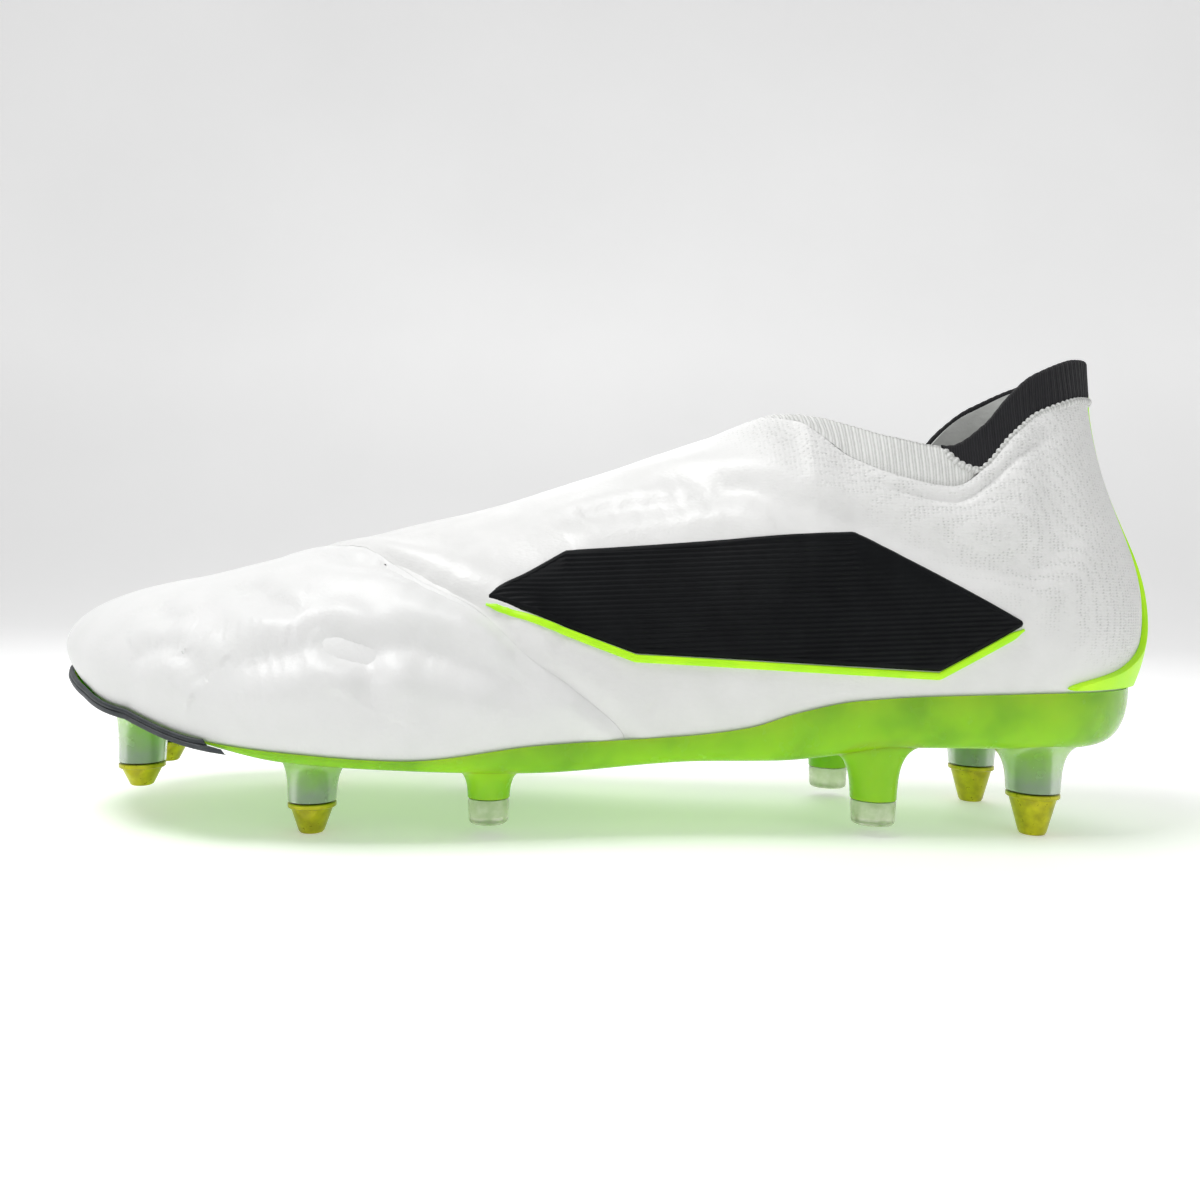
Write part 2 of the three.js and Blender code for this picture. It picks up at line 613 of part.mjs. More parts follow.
function addFootbed() {
  const everywhere = () => true;
  const boardBottom = SKIN + 2 * GAP;
  const boardTop = boardBottom + BOARD;
  const restsOn = (extra) => (s) => boardTop + GAP + heelLift(s) + extra;
  const boardInset = (s) => footInset(s) - 0.4;
  addSheet("lasting_board", "board", everywhere, boardInset, always(boardBottom), always(boardTop));
  const fillerInset = always(LASTING_MARGIN + GAP);
  const fillerTop = always(SKIN - GAP);
  const filler = (side, s) => s < -0.2;
  addSheet("bottom_filler", "foam", filler, fillerInset, always(GAP), fillerTop);
  const shank = (side, s, q) => between(s, [-0.12, 0.55]) && q < 0.5;
  addSheet("shank", "steel", shank, always(LASTING_MARGIN + GAP), always(GAP), fillerTop);
  const cushion = (side, s) => s > 0.39;
  const cushionTop = (s) => boardTop + heelLift(s);
  addSheet("heel_cushion", "foam", cushion, footInset, always(boardTop + GAP), cushionTop);
  const linerTop = restsOn(GAP + SOCKLINER);
  addSheet("sockliner", "foam", everywhere, footInset, restsOn(GAP), linerTop);
  const coverBottom = restsOn(2 * GAP + SOCKLINER);
  const coverTop = restsOn(2 * GAP + SOCKLINER + COVER);
  addSheet("sockliner_cover", "cover", everywhere, footInset, coverBottom, coverTop);
}

// ---- Sole plate and studs ---------------------------------------------------------------

// Height of the plate's lower edge above the ground
const plateEdge = through([
  [-1, toeward(0.88)], [-0.87, toeward(0.68)], [TOE_CENTRE, toeward(0.42)], [-0.64, toeward(0.18)],
  [-0.5, PLATE_CLEARANCE + 3], [-0.35, PLATE_CLEARANCE + 1.4], [-0.1, PLATE_CLEARANCE],
  [0.17, PLATE_CLEARANCE + 2.3], [0.3, PLATE_CLEARANCE + 2.6], [0.55, heelSeat - PLATE - GAP],
  [1, heelSeat - PLATE - GAP],
]);
const plateInset = through([[-1, 2], [-0.5, 3], [0, 5], [0.4, 7], [1, 8.5]]);

// The plate's lower surface: q 0 to 1 is the underside, and 1 to 2 climbs the edge.
function plateOutside(u, q) {
  const { side, s } = around(u);
  const { x, y, facing } = slicePlan(side, s);
  const edge = [FOOT_OUTLINE[side](s) - plateInset(s), plateEdge(s)];
  const top = [FOOT_OUTLINE[side](s) + PLATE_EDGE, featherHeight(s)];
  let reach = edge[0] * Math.min(q, 1);
  let height = edge[1];
  if (q <= 1) {
    const centre = Math.min(Math.max(s, TOE_CENTRE), HEEL_CENTRE);
    const middle = seatHeight(centre) - PLATE - GAP;
    height = middle + (edge[1] - middle) * q * q * q;
  } else {
    const wide = top[0] - edge[0];
    const tall = top[1] - edge[1];
    const out = [edge[0] + 0.7 * wide, edge[1]];
    const up = [top[0], edge[1] + 0.4 * tall];
    [reach, height] = bezier(edge, out, up, top, q - 1);
  }
  return new THREE.Vector3(x + facing[0] * reach, y + facing[1] * reach, height);
}

// The plate's upper surface: the seat, then the cup that the upper's edge sits in.
function plateInside(u, q) {
  if (q <= 1) return seatPoint(u, q, LASTING_MARGIN, -GAP);
  const level = (q - 1) * FEATHER;
  return lastOffset(u, level, GAP);
}

const PLATE_ROWS = [0, 0.5, 1, 1 + TUCK / FEATHER, 2];

// Everything above the plate's underside and level with its edge, to trim stud bases with.
function abovePlate() {
  const tall = 60;
  const apron = 25;
  const cells = gridCells(LINES, [0, 0.5, 1, 2], () => true);
  const low = (u, q) => {
    const point = plateOutside(u, Math.min(q, 1));
    const [out, across] = slicePlan(around(u).side, around(u).s).facing;
    const beyond = apron * Math.max(0, q - 1);
    return point.add(new THREE.Vector3(out * beyond, across * beyond, -GAP));
  };
  const high = (u, q) => low(u, q).setZ(tall);
  return toSolid(solidBetween(cells, low, high));
}

const ROUND_SIDES = 16;
const INSERT_SIDES = 12;
const BASE_ROOT = 7; // a stud base is drawn this far up into the plate, then trimmed to it

function lathe(profile, x, y, sides = ROUND_SIDES) {
  const points = profile.map(([r, z]) => new THREE.Vector2(r, z));
  const geometry = new THREE.LatheGeometry(points, sides);
  geometry.rotateX(Math.PI / 2);
  geometry.translate(x, y, 0);
  return toSolid(geometry);
}

// Studs: place along the foot, share of the ball width across it, height of the tip's foot
// above the ground, radii at the foot and at the seat, height of the metal, and base radius.
const METAL_STUDS = [
  ["toe_lateral", -0.81, -0.17, 7.3, 2.5, 5.35, 5.7, 9.8],
  ["toe_medial", -0.86, 0.14, 8.2, 2.5, 5.35, 5.7, 9],
  ["ball_lateral", -0.475, -0.32, 0, 2.75, 5.5, 7.2, 10],
  ["ball_medial", -0.59, 0.28, 0, 2.75, 5.5, 7.2, 10],
  ["heel_lateral", 0.768, -0.2, 0, 3.1, 6.2, 10.3, 13],
  ["heel_medial", 0.768, 0.2, 0, 3.1, 6.2, 10.3, 13],
];
const MOULDED_STUDS = [
  ["forefoot_lateral", -0.18, -0.32, 3, 4.6, 10],
  ["forefoot_medial", -0.235, 0.26, 3, 4.6, 10],
  ["heel_front_lateral", 0.48, -0.235, 2.6, 5.2, 12],
  ["heel_front_medial", 0.48, 0.235, 2.6, 5.2, 12],
];

// Underside of the plate straight above a stud, from the places either side of it.
function plateOver(place, across) {
  const side = across < 0 ? LATERAL : MEDIAL;
  const u = toU(side, place);
  return plateOutside(u, 0.5).z;
}

function flare(foot, footRadius, top, baseRadius) {
  const rise = top - foot;
  return [
    [footRadius, foot], [footRadius + (baseRadius - footRadius) * 0.12, foot + rise * 0.4],
    [footRadius + (baseRadius - footRadius) * 0.4, foot + rise * 0.75], [baseRadius, top],
  ];
}

function addPlate() {
  const cells = gridCells(LINES, PLATE_ROWS, () => true);
  let plate = toSolid(solidBetween(cells, plateOutside, plateInside));
  for (const [name, place, across, foot, radius, baseRadius] of MOULDED_STUDS) {
    const x = place * HALF;
    const y = across * BALL_WIDTH;
    const top = plateOver(place, across);
    const seat = foot + CLEAR_TIP_HEIGHT + GAP;
    const bodyRadius = radius + 0.3;
    const body = flare(seat, bodyRadius, top, baseRadius);
    const root = top + FLARE_ROOT;
    const profile = [[0, seat], ...body, [baseRadius, root], [0, root]];
    plate = plate.add(lathe(profile, x, y));
    const tip = [
      [0, foot], [radius - TIP_ROUND, foot], [radius, foot + TIP_ROUND],
      [bodyRadius, seat - GAP], [0, seat - GAP],
    ];
    addPiece(`clear_tip_${name}`, toGeometry(lathe(tip, x, y)), "clear");
  }
  addPiece("outsole_plate", toGeometry(plate), "plate");
}

function addToeRim() {
  const cells = gridCells(LINES, [0, 1], (side, s) => s < RIM_END && notSeam(s, RIM_END));
  const face = (proud) => (u, q) => {
    const { side, s } = around(u);
    const { x, y, facing } = slicePlan(side, s);
    const reach = FOOT_OUTLINE[side](s) + PLATE_EDGE + proud;
    const height = featherHeight(s) + RIM_HEIGHT * (q - 0.85);
    return new THREE.Vector3(x + facing[0] * reach, y + facing[1] * reach, height);
  };
  addPiece("toe_rim", solidBetween(cells, face(GAP + RIM), face(GAP)), "rim");
}

function box(width, depth, height, x, y, z) {
  return toSolid(new THREE.BoxGeometry(width, depth, height).translate(x, y, z));
}

// Metal cone with two wrench flats, standing on its foot and seated on the stud base.
function studTip(x, y, foot, footRadius, seatRadius, height) {
  const seat = foot + height;
  const coneTop = seat - TIP_COLLAR;
  const coneRadius = seatRadius - TIP_LEDGE;
  const socket = POST_RADIUS + POST_CLEARANCE;
  const profile = [
    [0, foot], [footRadius, foot], [coneRadius, coneTop], [seatRadius, coneTop],
    [seatRadius, seat], [socket, seat], [socket, seat - POST_SOCKET], [0, seat - POST_SOCKET],
  ];
  let tip = lathe(profile, x, y);
  const flatHeight = height - TIP_COLLAR;
  const depth = seatRadius;
  const middle = coneRadius - WRENCH_FLAT + depth / 2;
  for (const way of [-1, 1]) {
    const z = foot + flatHeight / 2;
    tip = tip.subtract(box(4 * seatRadius, depth, flatHeight, x, y + way * middle, z));
  }
  return tip;
}

// Moulded base that a metal stud seats on, hollow for the threaded insert.
function studBase(x, y, seat, seatRadius, top, baseRadius, above) {
  const hole = INSERT_RADIUS + GAP;
  const ceiling = seat + INSERT_LENGTH + GAP;
  const root = top + BASE_ROOT;
  const skirt = flare(seat, seatRadius, top, baseRadius);
  const profile = [
    [hole, seat], ...skirt, [baseRadius, root], [0, root], [0, ceiling], [hole, ceiling],
    [hole, seat],
  ];
  return lathe(profile, x, y).subtract(above);
}

function studInsert(x, y, seat) {
  const bore = POST_RADIUS + POST_CLEARANCE;
  const boreTop = seat + POST_LENGTH + GAP;
  const top = seat + INSERT_LENGTH;
  const profile = [
    [bore, seat], [INSERT_RADIUS, seat], [INSERT_RADIUS, top], [0, top], [0, boreTop],
    [bore, boreTop], [bore, seat],
  ];
  return lathe(profile, x, y, INSERT_SIDES);
}

function studPost(x, y, seat) {
  const foot = seat - POST_SOCKET;
  const top = seat + POST_LENGTH;
  const profile = [[0, foot], [POST_RADIUS, foot], [POST_RADIUS, top], [0, top]];
  return lathe(profile, x, y, INSERT_SIDES);
}

function addMetalStuds() {
  const above = abovePlate();
  for (const stud of METAL_STUDS) {
    const [name, place, across, foot, footRadius, seatRadius, height, baseRadius] = stud;
    const x = place * HALF;
    const y = across * BALL_WIDTH;
    const seat = foot + height + GAP;
    const top = plateOver(place, across);
    const base = studBase(x, y, seat, seatRadius, top, baseRadius, above);
    addPiece(`stud_base_${name}`, toGeometry(base), "stud_base");
    addPiece(`stud_insert_${name}`, toGeometry(studInsert(x, y, seat)), "brass");
    const tip = studTip(x, y, foot, footRadius, seatRadius, height);
    addPiece(`stud_tip_${name}`, toGeometry(tip), "stud_metal");
    addPiece(`stud_post_${name}`, toGeometry(studPost(x, y, seat)), "steel");
  }
}

addUpper();
addInnerLayers();
addSidePanels();
addHeelSpine();
addHeelBadge();
addFootbed();
addPlate();
addToeRim();
addMetalStuds();

// The origin is under the middle of the whole shoe, on the ground.
const bounds = new THREE.Box3().setFromObject(shoe);
const middle = bounds.getCenter(new THREE.Vector3());
shoe.position.set(-middle.x, -middle.y, -bounds.min.z);

const cleat = new THREE.Group();
cleat.add(shoe);
export default cleat;
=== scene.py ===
"""Soccer cleat, laceless, left shoe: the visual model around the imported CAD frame."""
import json
import math

import bmesh
import bpy
import numpy as np
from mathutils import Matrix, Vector, noise
from mathutils.bvhtree import BVHTree


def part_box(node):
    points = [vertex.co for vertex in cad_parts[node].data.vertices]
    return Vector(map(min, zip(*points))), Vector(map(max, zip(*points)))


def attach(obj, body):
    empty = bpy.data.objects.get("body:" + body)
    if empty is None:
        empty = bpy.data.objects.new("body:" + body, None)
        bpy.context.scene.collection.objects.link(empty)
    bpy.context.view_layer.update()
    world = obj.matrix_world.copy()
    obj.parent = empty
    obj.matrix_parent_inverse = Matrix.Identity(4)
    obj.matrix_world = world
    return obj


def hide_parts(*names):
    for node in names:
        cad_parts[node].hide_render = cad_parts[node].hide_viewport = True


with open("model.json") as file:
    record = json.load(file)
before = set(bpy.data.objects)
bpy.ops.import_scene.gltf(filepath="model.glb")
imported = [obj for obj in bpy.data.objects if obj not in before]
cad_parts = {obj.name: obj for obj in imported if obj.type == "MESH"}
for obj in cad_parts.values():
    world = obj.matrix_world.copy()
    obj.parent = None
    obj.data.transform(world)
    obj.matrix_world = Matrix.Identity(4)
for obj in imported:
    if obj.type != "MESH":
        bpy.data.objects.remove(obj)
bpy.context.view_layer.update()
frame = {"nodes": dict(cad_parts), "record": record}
nodes = frame["nodes"]

# ---- Sizes of the shoe, in millimetres --------------------------------------------------

MM = 0.001
LENGTH = 279.2
HALF = LENGTH / 2
BALL_WIDTH = 97
TOE_TOP = 59.5
THROAT_TOP = 105
COLLAR_LOW = 92.8
HEEL_TOP = 118.5
COLLAR_WIDTH = 54
BALL_FEATHER = 19.2
TOE_SPRING = 17.4
HEEL_RISE = 17
HEEL_CUP_DEPTH = 12
BALL_DIP = 0.9
PLATE_CLEARANCE = 15.4
LASTING_MARGIN = 8
SKIN = 1.4
CUFF_HEIGHT = 10
CUFF_PROUD = 0.4
ANKLE_PUFF = 2.2
PLATE = 2.4
PLATE_EDGE = 0.6
RIM_HEIGHT = 2.2
GAP = 0.3

TOE_CENTRE = -0.77
HEEL_CENTRE = 0.757
VAMP_END = -0.06
THROAT = 0.33
CUFF_BACK = 0.62
RIM_END = -0.6
FEATHER = 0.15
WIDEST = 0.35
CUFF_SEAM = 0.85
FRONT_REACH = COLLAR_WIDTH * 0.38  # half width of the instep in front of the collar
LATERAL = -1
MEDIAL = 1
TOP = 1 - 1e-9  # levels from here up lie on the ridge, where the two sides meet

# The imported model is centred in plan, which moved it by this much.
stud_low, stud_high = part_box("stud_tip_heel_lateral")
STUD_PLACE = 0.768
STUD_ACROSS = -0.2
SHIFT = np.array([
    (stud_low.x + stud_high.x) / 2 / MM - STUD_PLACE * HALF,
    (stud_low.y + stud_high.y) / 2 / MM - STUD_ACROSS * BALL_WIDTH,
    0,
])

# ---- The last: the surface that the upper lies on ---------------------------------------


def through(points):
    """A smooth curve through the points, with no overshoot between them."""
    xs, ys = np.array(points, float).T
    widths = np.diff(xs)
    slope = np.diff(ys) / widths
    before, after = slope[:-1], slope[1:]
    same_way = before * after > 0
    tangent = np.zeros(len(xs))
    total = np.where(same_way, before + after, 1)
    tangent[1:-1] = np.where(same_way, 2 * before * after / total, 0)

    def curve(at):
        at = np.clip(np.asarray(at, float), xs[0], xs[-1])
        i = np.clip(np.searchsorted(xs, at), 1, len(xs) - 1)
        w = widths[i - 1]
        t = (at - xs[i - 1]) / w
        ease = t * t * (3 - 2 * t)
        bend = w * t * (1 - t) * ((1 - t) * tangent[i - 1] - t * tangent[i])
        return ys[i - 1] * (1 - ease) + ys[i] * ease + bend

    return curve


def share(points, size):
    return through([[at, value * size] for at, value in points])


def toeward(part):
    return BALL_FEATHER + part * TOE_SPRING


def heelward(part):
    return BALL_FEATHER + part * HEEL_RISE


def cupped(part):
    return BALL_FEATHER - BALL_DIP + part * (HEEL_SEAT - BALL_FEATHER + BALL_DIP)


def ridge(part):
    return TOE_TOP + part * (THROAT_TOP - TOE_TOP)


def rim_rise(part):
    return COLLAR_LOW + part * (HEEL_TOP - COLLAR_LOW)


HEEL_SEAT = heelward(1) - HEEL_CUP_DEPTH
centre_line = share([[TOE_CENTRE, 0.05], [0, 0.05], [0.33, 0.012], [0.5, 0]], BALL_WIDTH)
lateral_outline = share([
    [-1, 0.302], [-0.9, 0.31], [-0.84, 0.34], [TOE_CENTRE, 0.42], [-0.64, 0.495],
    [-0.47, 0.53], [-0.3, 0.508], [0, 0.425], [0.2, 0.375], [0.4, 0.352], [0.65, 0.34],
    [0.8, 0.322], [1, 0.31],
], BALL_WIDTH)
medial_outline = share([
    [-1, 0.302], [-0.88, 0.312], [TOE_CENTRE, 0.345], [-0.64, 0.405], [-0.53, 0.43],
    [-0.38, 0.41], [-0.2, 0.35], [0, 0.3], [0.15, 0.285], [0.35, 0.303], [0.6, 0.335],
    [HEEL_CENTRE, 0.325], [1, 0.31],
], BALL_WIDTH)
feather_height = through([
    [-1, toeward(1)], [-0.87, toeward(0.82)], [TOE_CENTRE, toeward(0.52)],
    [-0.62, toeward(0.2)], [-0.48, toeward(0.09)], [-0.3, toeward(0)],
    [-0.1, heelward(0.18)], [0.15, heelward(0.31)], [0.25, heelward(0.43)],
    [THROAT, heelward(0.64)], [0.43, heelward(0.82)], [0.58, heelward(0.91)],
    [1, heelward(1)],
])
seat_height = through([
    [-1, toeward(1) - BALL_DIP], [-0.87, toeward(0.82) - BALL_DIP],
    [TOE_CENTRE, toeward(0.52) - BALL_DIP], [-0.62, toeward(0.2) - BALL_DIP],
    [-0.48, toeward(0.08) - BALL_DIP], [-0.3, cupped(0)], [-0.1, cupped(0.22)],
    [0.15, cupped(0.48)], [THROAT, cupped(0.83)], [0.5, HEEL_SEAT], [1, HEEL_SEAT],
])
bulge = through([[-1, 2.6], [-0.7, 2], [0, 2], [0.4, 2.2], [0.8, 3], [1, 3.4]])
bulge_rise = through([[-1, 6], [TOE_CENTRE, 8], [-0.5, 11], [0.2, 12], [0.6, 14], [1, 17]])
ridge_height = through([
    [-0.94, ridge(-0.08)], [TOE_CENTRE, ridge(0)], [-0.58, ridge(0.15)],
    [-0.38, ridge(0.31)], [-0.19, ridge(0.465)], [0, ridge(0.66)], [0.19, ridge(0.86)],
    [THROAT, ridge(1)], [0.37, THROAT_TOP * 0.82 + COLLAR_LOW * 0.18],
    [0.43, THROAT_TOP / 2 + COLLAR_LOW / 2], [0.51, THROAT_TOP * 0.16 + COLLAR_LOW * 0.84],
    [0.59, COLLAR_LOW], [0.65, rim_rise(0.2)], [0.7, rim_rise(0.5)],
    [HEEL_CENTRE, rim_rise(0.74)], [0.86, rim_rise(0.93)], [1, HEEL_TOP],
])
collar_reach = share([
    [THROAT, 0], [0.36, 0.2], [0.43, 0.38], [0.51, 0.47], [0.6, 0.5], [0.7, 0.45],
    [HEEL_CENTRE, 0.39], [0.86, 0.36], [1, 0.37],
], COLLAR_WIDTH)
rim_steepness = through([
    [THROAT, 0], [0.43, 50], [0.51, 65], [0.6, 73], [0.75, 80], [1, 88],
])
belly = through([[-1, 0.22], [TOE_CENTRE, 0.24], [-0.4, 0.3], [0.2, 0.36], [1, 0.32]])
shoulder = through([
    [-1, 0.5], [TOE_CENTRE, 0.46], [-0.4, 0.38], [0.2, 0.26], [0.5, 0.34], [1, 0.58],
])

crown = through([[-0.1, 0], [0.15, 0.2], [THROAT, 0.5], [0.37, 0.22], [0.43, 0]])


def outline(side, s):
    return np.where(side == LATERAL, lateral_outline(s), medial_outline(s))


def top_height(s):
    return ridge_height(np.maximum(s, TOE_CENTRE))


def ridge_slope(s):
    step = 0.01
    return (ridge_height(s + step) - ridge_height(s - step)) / (2 * step * HALF)


def slice_plan(side, s):
    """Where a slice of the last stands in plan, and which way it faces."""
    centre = np.clip(s, TOE_CENTRE, HEEL_CENTRE)
    room = np.where(s < centre, 1 + TOE_CENTRE, 1 - HEEL_CENTRE)
    angle = (s - centre) / room * math.pi / 2
    return centre * HALF, centre_line(centre), np.sin(angle), side * np.cos(angle)


def bezier(p0, p1, p2, p3, t):
    r = 1 - t
    weights = [r * r * r, 3 * r * r * t, 3 * r * t * t, t * t * t]
    handles = (p0, p1, p2, p3)
    return [sum(w * p[k] for w, p in zip(weights, handles)) for k in (0, 1)]


def slice_profile(side, s, v):
    """Distance from the centre line and height at level v of a slice."""
    reach = outline(side, s)
    feather = (reach, feather_height(s))
    widest = (reach + bulge(s), feather[1] + bulge_rise(s))
    seat = (reach - LASTING_MARGIN, seat_height(s))
    drop = feather[1] - seat[1]
    under = bezier(
        seat,
        (seat[0] + LASTING_MARGIN * 0.6, seat[1]),
        (reach - 0.1 * drop, feather[1] - 0.55 * drop),
        feather,
        np.clip(v / FEATHER, 0, 1),
    )
    side_wall = bezier(
        feather,
        (reach + 0.5 * bulge(s), feather[1] + 0.25 * bulge_rise(s)),
        (widest[0], widest[1] - 0.4 * bulge_rise(s)),
        widest,
        np.clip((v - FEATHER) / (WIDEST - FEATHER), 0, 1),
    )
    top = (collar_reach(s), top_height(s))
    span = np.hypot(widest[0] - top[0], top[1] - widest[1])
    steep = np.radians(rim_steepness(s))
    inward = shoulder(s) * span
    tilt = np.where(s < TOE_CENTRE, ridge_slope(TOE_CENTRE) * slice_plan(side, s)[2], 0)
    cuff = np.minimum(0.4, CUFF_HEIGHT / (3 * inward))
    below_cuff = np.clip((v - WIDEST) / (CUFF_SEAM - WIDEST), 0, None) * (1 - cuff)
    in_cuff = 1 - cuff * ((1 - v) / (1 - CUFF_SEAM))
    broad = crown(s) * np.maximum(0, FRONT_REACH - top[0])
    above = bezier(
        widest,
        (widest[0], widest[1] + belly(s) * span),
        (
            top[0] + inward * np.cos(steep) + broad,
            top[1] - inward * np.sin(steep) + inward * tilt,
        ),
        top,
        np.where(v < CUFF_SEAM, below_cuff, in_cuff),
    )
    return [
        np.where(v < FEATHER, under[k], np.where(v < WIDEST, side_wall[k], above[k]))
        for k in (0, 1)
    ]


def around(u):
    """Side and place for u, which runs 0 to 1 from toe to heel on the lateral side."""
    turn = np.mod(u, 2)
    return np.where(turn <= 1, LATERAL, MEDIAL), np.where(turn <= 1, 2 * turn - 1, 3 - 2 * turn)


def last_point(u, v):
    side, s = around(u)
    x, y, ahead, aside = slice_plan(side, s)
    reach, height = slice_profile(side, s, v)
    return np.stack([x + ahead * reach, y + aside * reach, height], -1)


def unit(vectors):
    return vectors / np.maximum(np.linalg.norm(vectors, axis=-1, keepdims=True), 1e-9)


NORMAL_STEPS = (0.004, 0.01)


def last_normal(u, v):
    _, s = around(u)
    du, dv = NORMAL_STEPS
    along = last_point(u + du, v) - last_point(u - du, v)
    up = last_point(u, np.minimum(1, v + dv)) - last_point(u, np.maximum(0, v - dv))
    slope = ridge_slope(np.maximum(s, TOE_CENTRE))
    crest = unit(np.stack([-slope, 0 * slope, 1 + 0 * slope], -1))
    on_ridge = (v >= TOP) & (s < THROAT + 1e-6)
    return np.where(on_ridge[..., None], crest, unit(np.cross(along, up)))


PUFF_PLACE = 0.7
PUFF_LEVEL = 0.72
PUFF_SIZE = 0.13


def puff(u, v):
    """Soft swelling over the ankle foam."""
    _, s = around(u)
    across = ((s - PUFF_PLACE) / PUFF_SIZE) ** 2
    return ANKLE_PUFF * np.exp(-across - ((v - PUFF_LEVEL) / PUFF_SIZE) ** 2)


def last_offset(u, v, depth):
    u, v = np.broadcast_arrays(np.asarray(u, float), np.asarray(v, float))
    depth = np.broadcast_to(depth, u.shape)
    return last_point(u, v) + last_normal(u, v) * depth[..., None]


def place_of(s):
    """The lateral side's u at place s."""
    return (s + 1) / 2


def to_u(side, s):
    return np.where(side == LATERAL, place_of(s), 2 - place_of(s))


HALVINGS = 20


def level_at(side, s, z):
    """Level of the slice at place s whose height is z, found by halving."""
    low = np.full(np.broadcast(s, z).shape, FEATHER)
    high = np.ones_like(low)
    for _ in range(HALVINGS):
        middle = (low + high) / 2
        under = slice_profile(side, s, middle)[1] < z
        low = np.where(under, middle, low)
        high = np.where(under, high, middle)
    return low


# ---- Mesh building ----------------------------------------------------------------------


def hump(x):
    return np.exp(-x * x)


def smooth_step(x, low, high):
    t = np.clip((x - low) / (high - low), 0, 1)
    return t * t * (3 - 2 * t)


def wander(points, size, seed):
    """Smooth noise from -1 to 1 at points in millimetres, with lumps of about that size."""
    flat = points.reshape(-1, 3) / size + seed
    values = [noise.noise(Vector(p)) for p in flat.tolist()]
    return np.array(values).reshape(points.shape[:-1])


SHARP = math.radians(42)  # edges that turn more than this stay crisp
WELD_DISTANCE = 2e-6


def add_mesh(name, points, faces, material, uv=None):
    """A mesh object from points in millimetres, welded, facing out."""
    mesh = bpy.data.meshes.new(name)
    placed = (points.reshape(-1, 3) + SHIFT) * MM
    mesh.from_pydata(placed.tolist(), [], faces)
    if uv is not None:
        layer = mesh.uv_layers.new(name="pattern")
        loops = np.empty(len(mesh.loops), np.int32)
        mesh.loops.foreach_get("vertex_index", loops)
        layer.data.foreach_set("uv", uv.reshape(-1, 2)[loops].astype(np.float32).ravel())
    piece = bpy.data.objects.new(name, mesh)
    bpy.context.scene.collection.objects.link(piece)
    weld(mesh)
    mesh.materials.append(material)
    mesh.polygons.foreach_set("use_smooth", [True] * len(mesh.polygons))
    mesh.set_sharp_from_angle(angle=SHARP)
    mesh.update()
    return piece


def weld(mesh):
    work = bmesh.new()
    work.from_mesh(mesh)
    bmesh.ops.remove_doubles(work, verts=work.verts, dist=WELD_DISTANCE)
    bmesh.ops.dissolve_degenerate(work, dist=1e-7, edges=work.edges)
    bmesh.ops.recalc_face_normals(work, faces=work.faces)
    work.to_mesh(mesh)
    work.free()


def grid_faces(rows, columns, offset=0, wrap=False):
    """Quads over a grid of points with that many rows and columns."""
    faces = []
    last = columns if wrap else columns - 1
    for i in range(rows - 1):
        for j in range(last):
            k = (j + 1) % columns
            a, b = i * columns + j, i * columns + k
            c, d = (i + 1) * columns + k, (i + 1) * columns + j
            faces.append((a + offset, b + offset, c + offset, d + offset))
    return faces


def shell(name, sheets, material):
    """Closed sheets in one mesh. Each is two grids of points, their pattern, and the border
    points where the sheet runs on into another one, so that no wall closes it there."""
    points, faces, patterns = [], [], []
    start = 0
    for outer, inner, pattern, sealed in sheets:
        rows, columns = outer.shape[:2]
        count = rows * columns
        points += [outer.reshape(-1, 3), inner.reshape(-1, 3)]
        patterns += [pattern.reshape(-1, 2)] * 2
        faces += grid_faces(rows, columns, start)
        faces += [f[::-1] for f in grid_faces(rows, columns, start + count)]
        border = list(range(columns))
        border += [i * columns + columns - 1 for i in range(1, rows)]
        border += [(rows - 1) * columns + j for j in range(columns - 2, -1, -1)]
        border += [i * columns for i in range(rows - 2, -1, -1)]
        open_at = sealed.ravel()
        for a, b in zip(border, border[1:]):
            if not (open_at[a] and open_at[b]):
                a, b = a + start, b + start
                faces.append((b, a, a + count, b + count))
        start += 2 * count
    return add_mesh(name, np.concatenate(points), faces, material, np.concatenate(patterns))


def sweep(name, sections, material, uv=None):
    """A solid through a row of closed sections, capped at both ends."""
    rows, columns = sections.shape[:2]
    faces = grid_faces(rows, columns, wrap=True)
    faces.append(tuple(range(columns - 1, -1, -1)))
    faces.append(tuple((rows - 1) * columns + j for j in range(columns)))
    return add_mesh(name, sections, faces, material, uv)


def round_mesh(name, rings, material, uv=None):
    """A solid from a stack of rings, the first and last of which shrink to the axis."""
    faces = grid_faces(len(rings), rings.shape[1], wrap=True)
    return add_mesh(name, rings, faces, material, uv)


def full_turn(sides):
    return np.linspace(0, 2 * math.pi, sides, endpoint=False)


def lathe(name, profile, x, y, material, sides):
    """A solid of revolution from (radius, height) pairs that start and end on the axis."""
    profile = np.array(profile, float)
    angle = full_turn(sides)
    r = profile[:, :1]
    height = np.broadcast_to(profile[:, 1:], (len(profile), sides))
    ring = np.stack([x + r * np.cos(angle), y + r * np.sin(angle), height], -1)
    return round_mesh(name, ring, material)


def finish_piece(piece, body, slot, *replaced):
    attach(piece, body)
    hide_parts(*replaced)
    return piece


def chain(points, step):
    """Points in a row, filled in so that none is further than step from the next."""
    points = np.array(points, float)
    lengths = np.hypot(*np.diff(points, axis=0).T)
    along = np.concatenate([[0], np.cumsum(lengths)])
    at = np.linspace(0, along[-1], int(along[-1] / step) + 2)
    return np.stack([np.interp(at, along, points[:, k]) for k in (0, 1)], -1), at / along[-1]


# ---- Materials --------------------------------------------------------------------------


WAVE_SCALE = math.pi / 10  # makes one band of a wave texture one unit wide


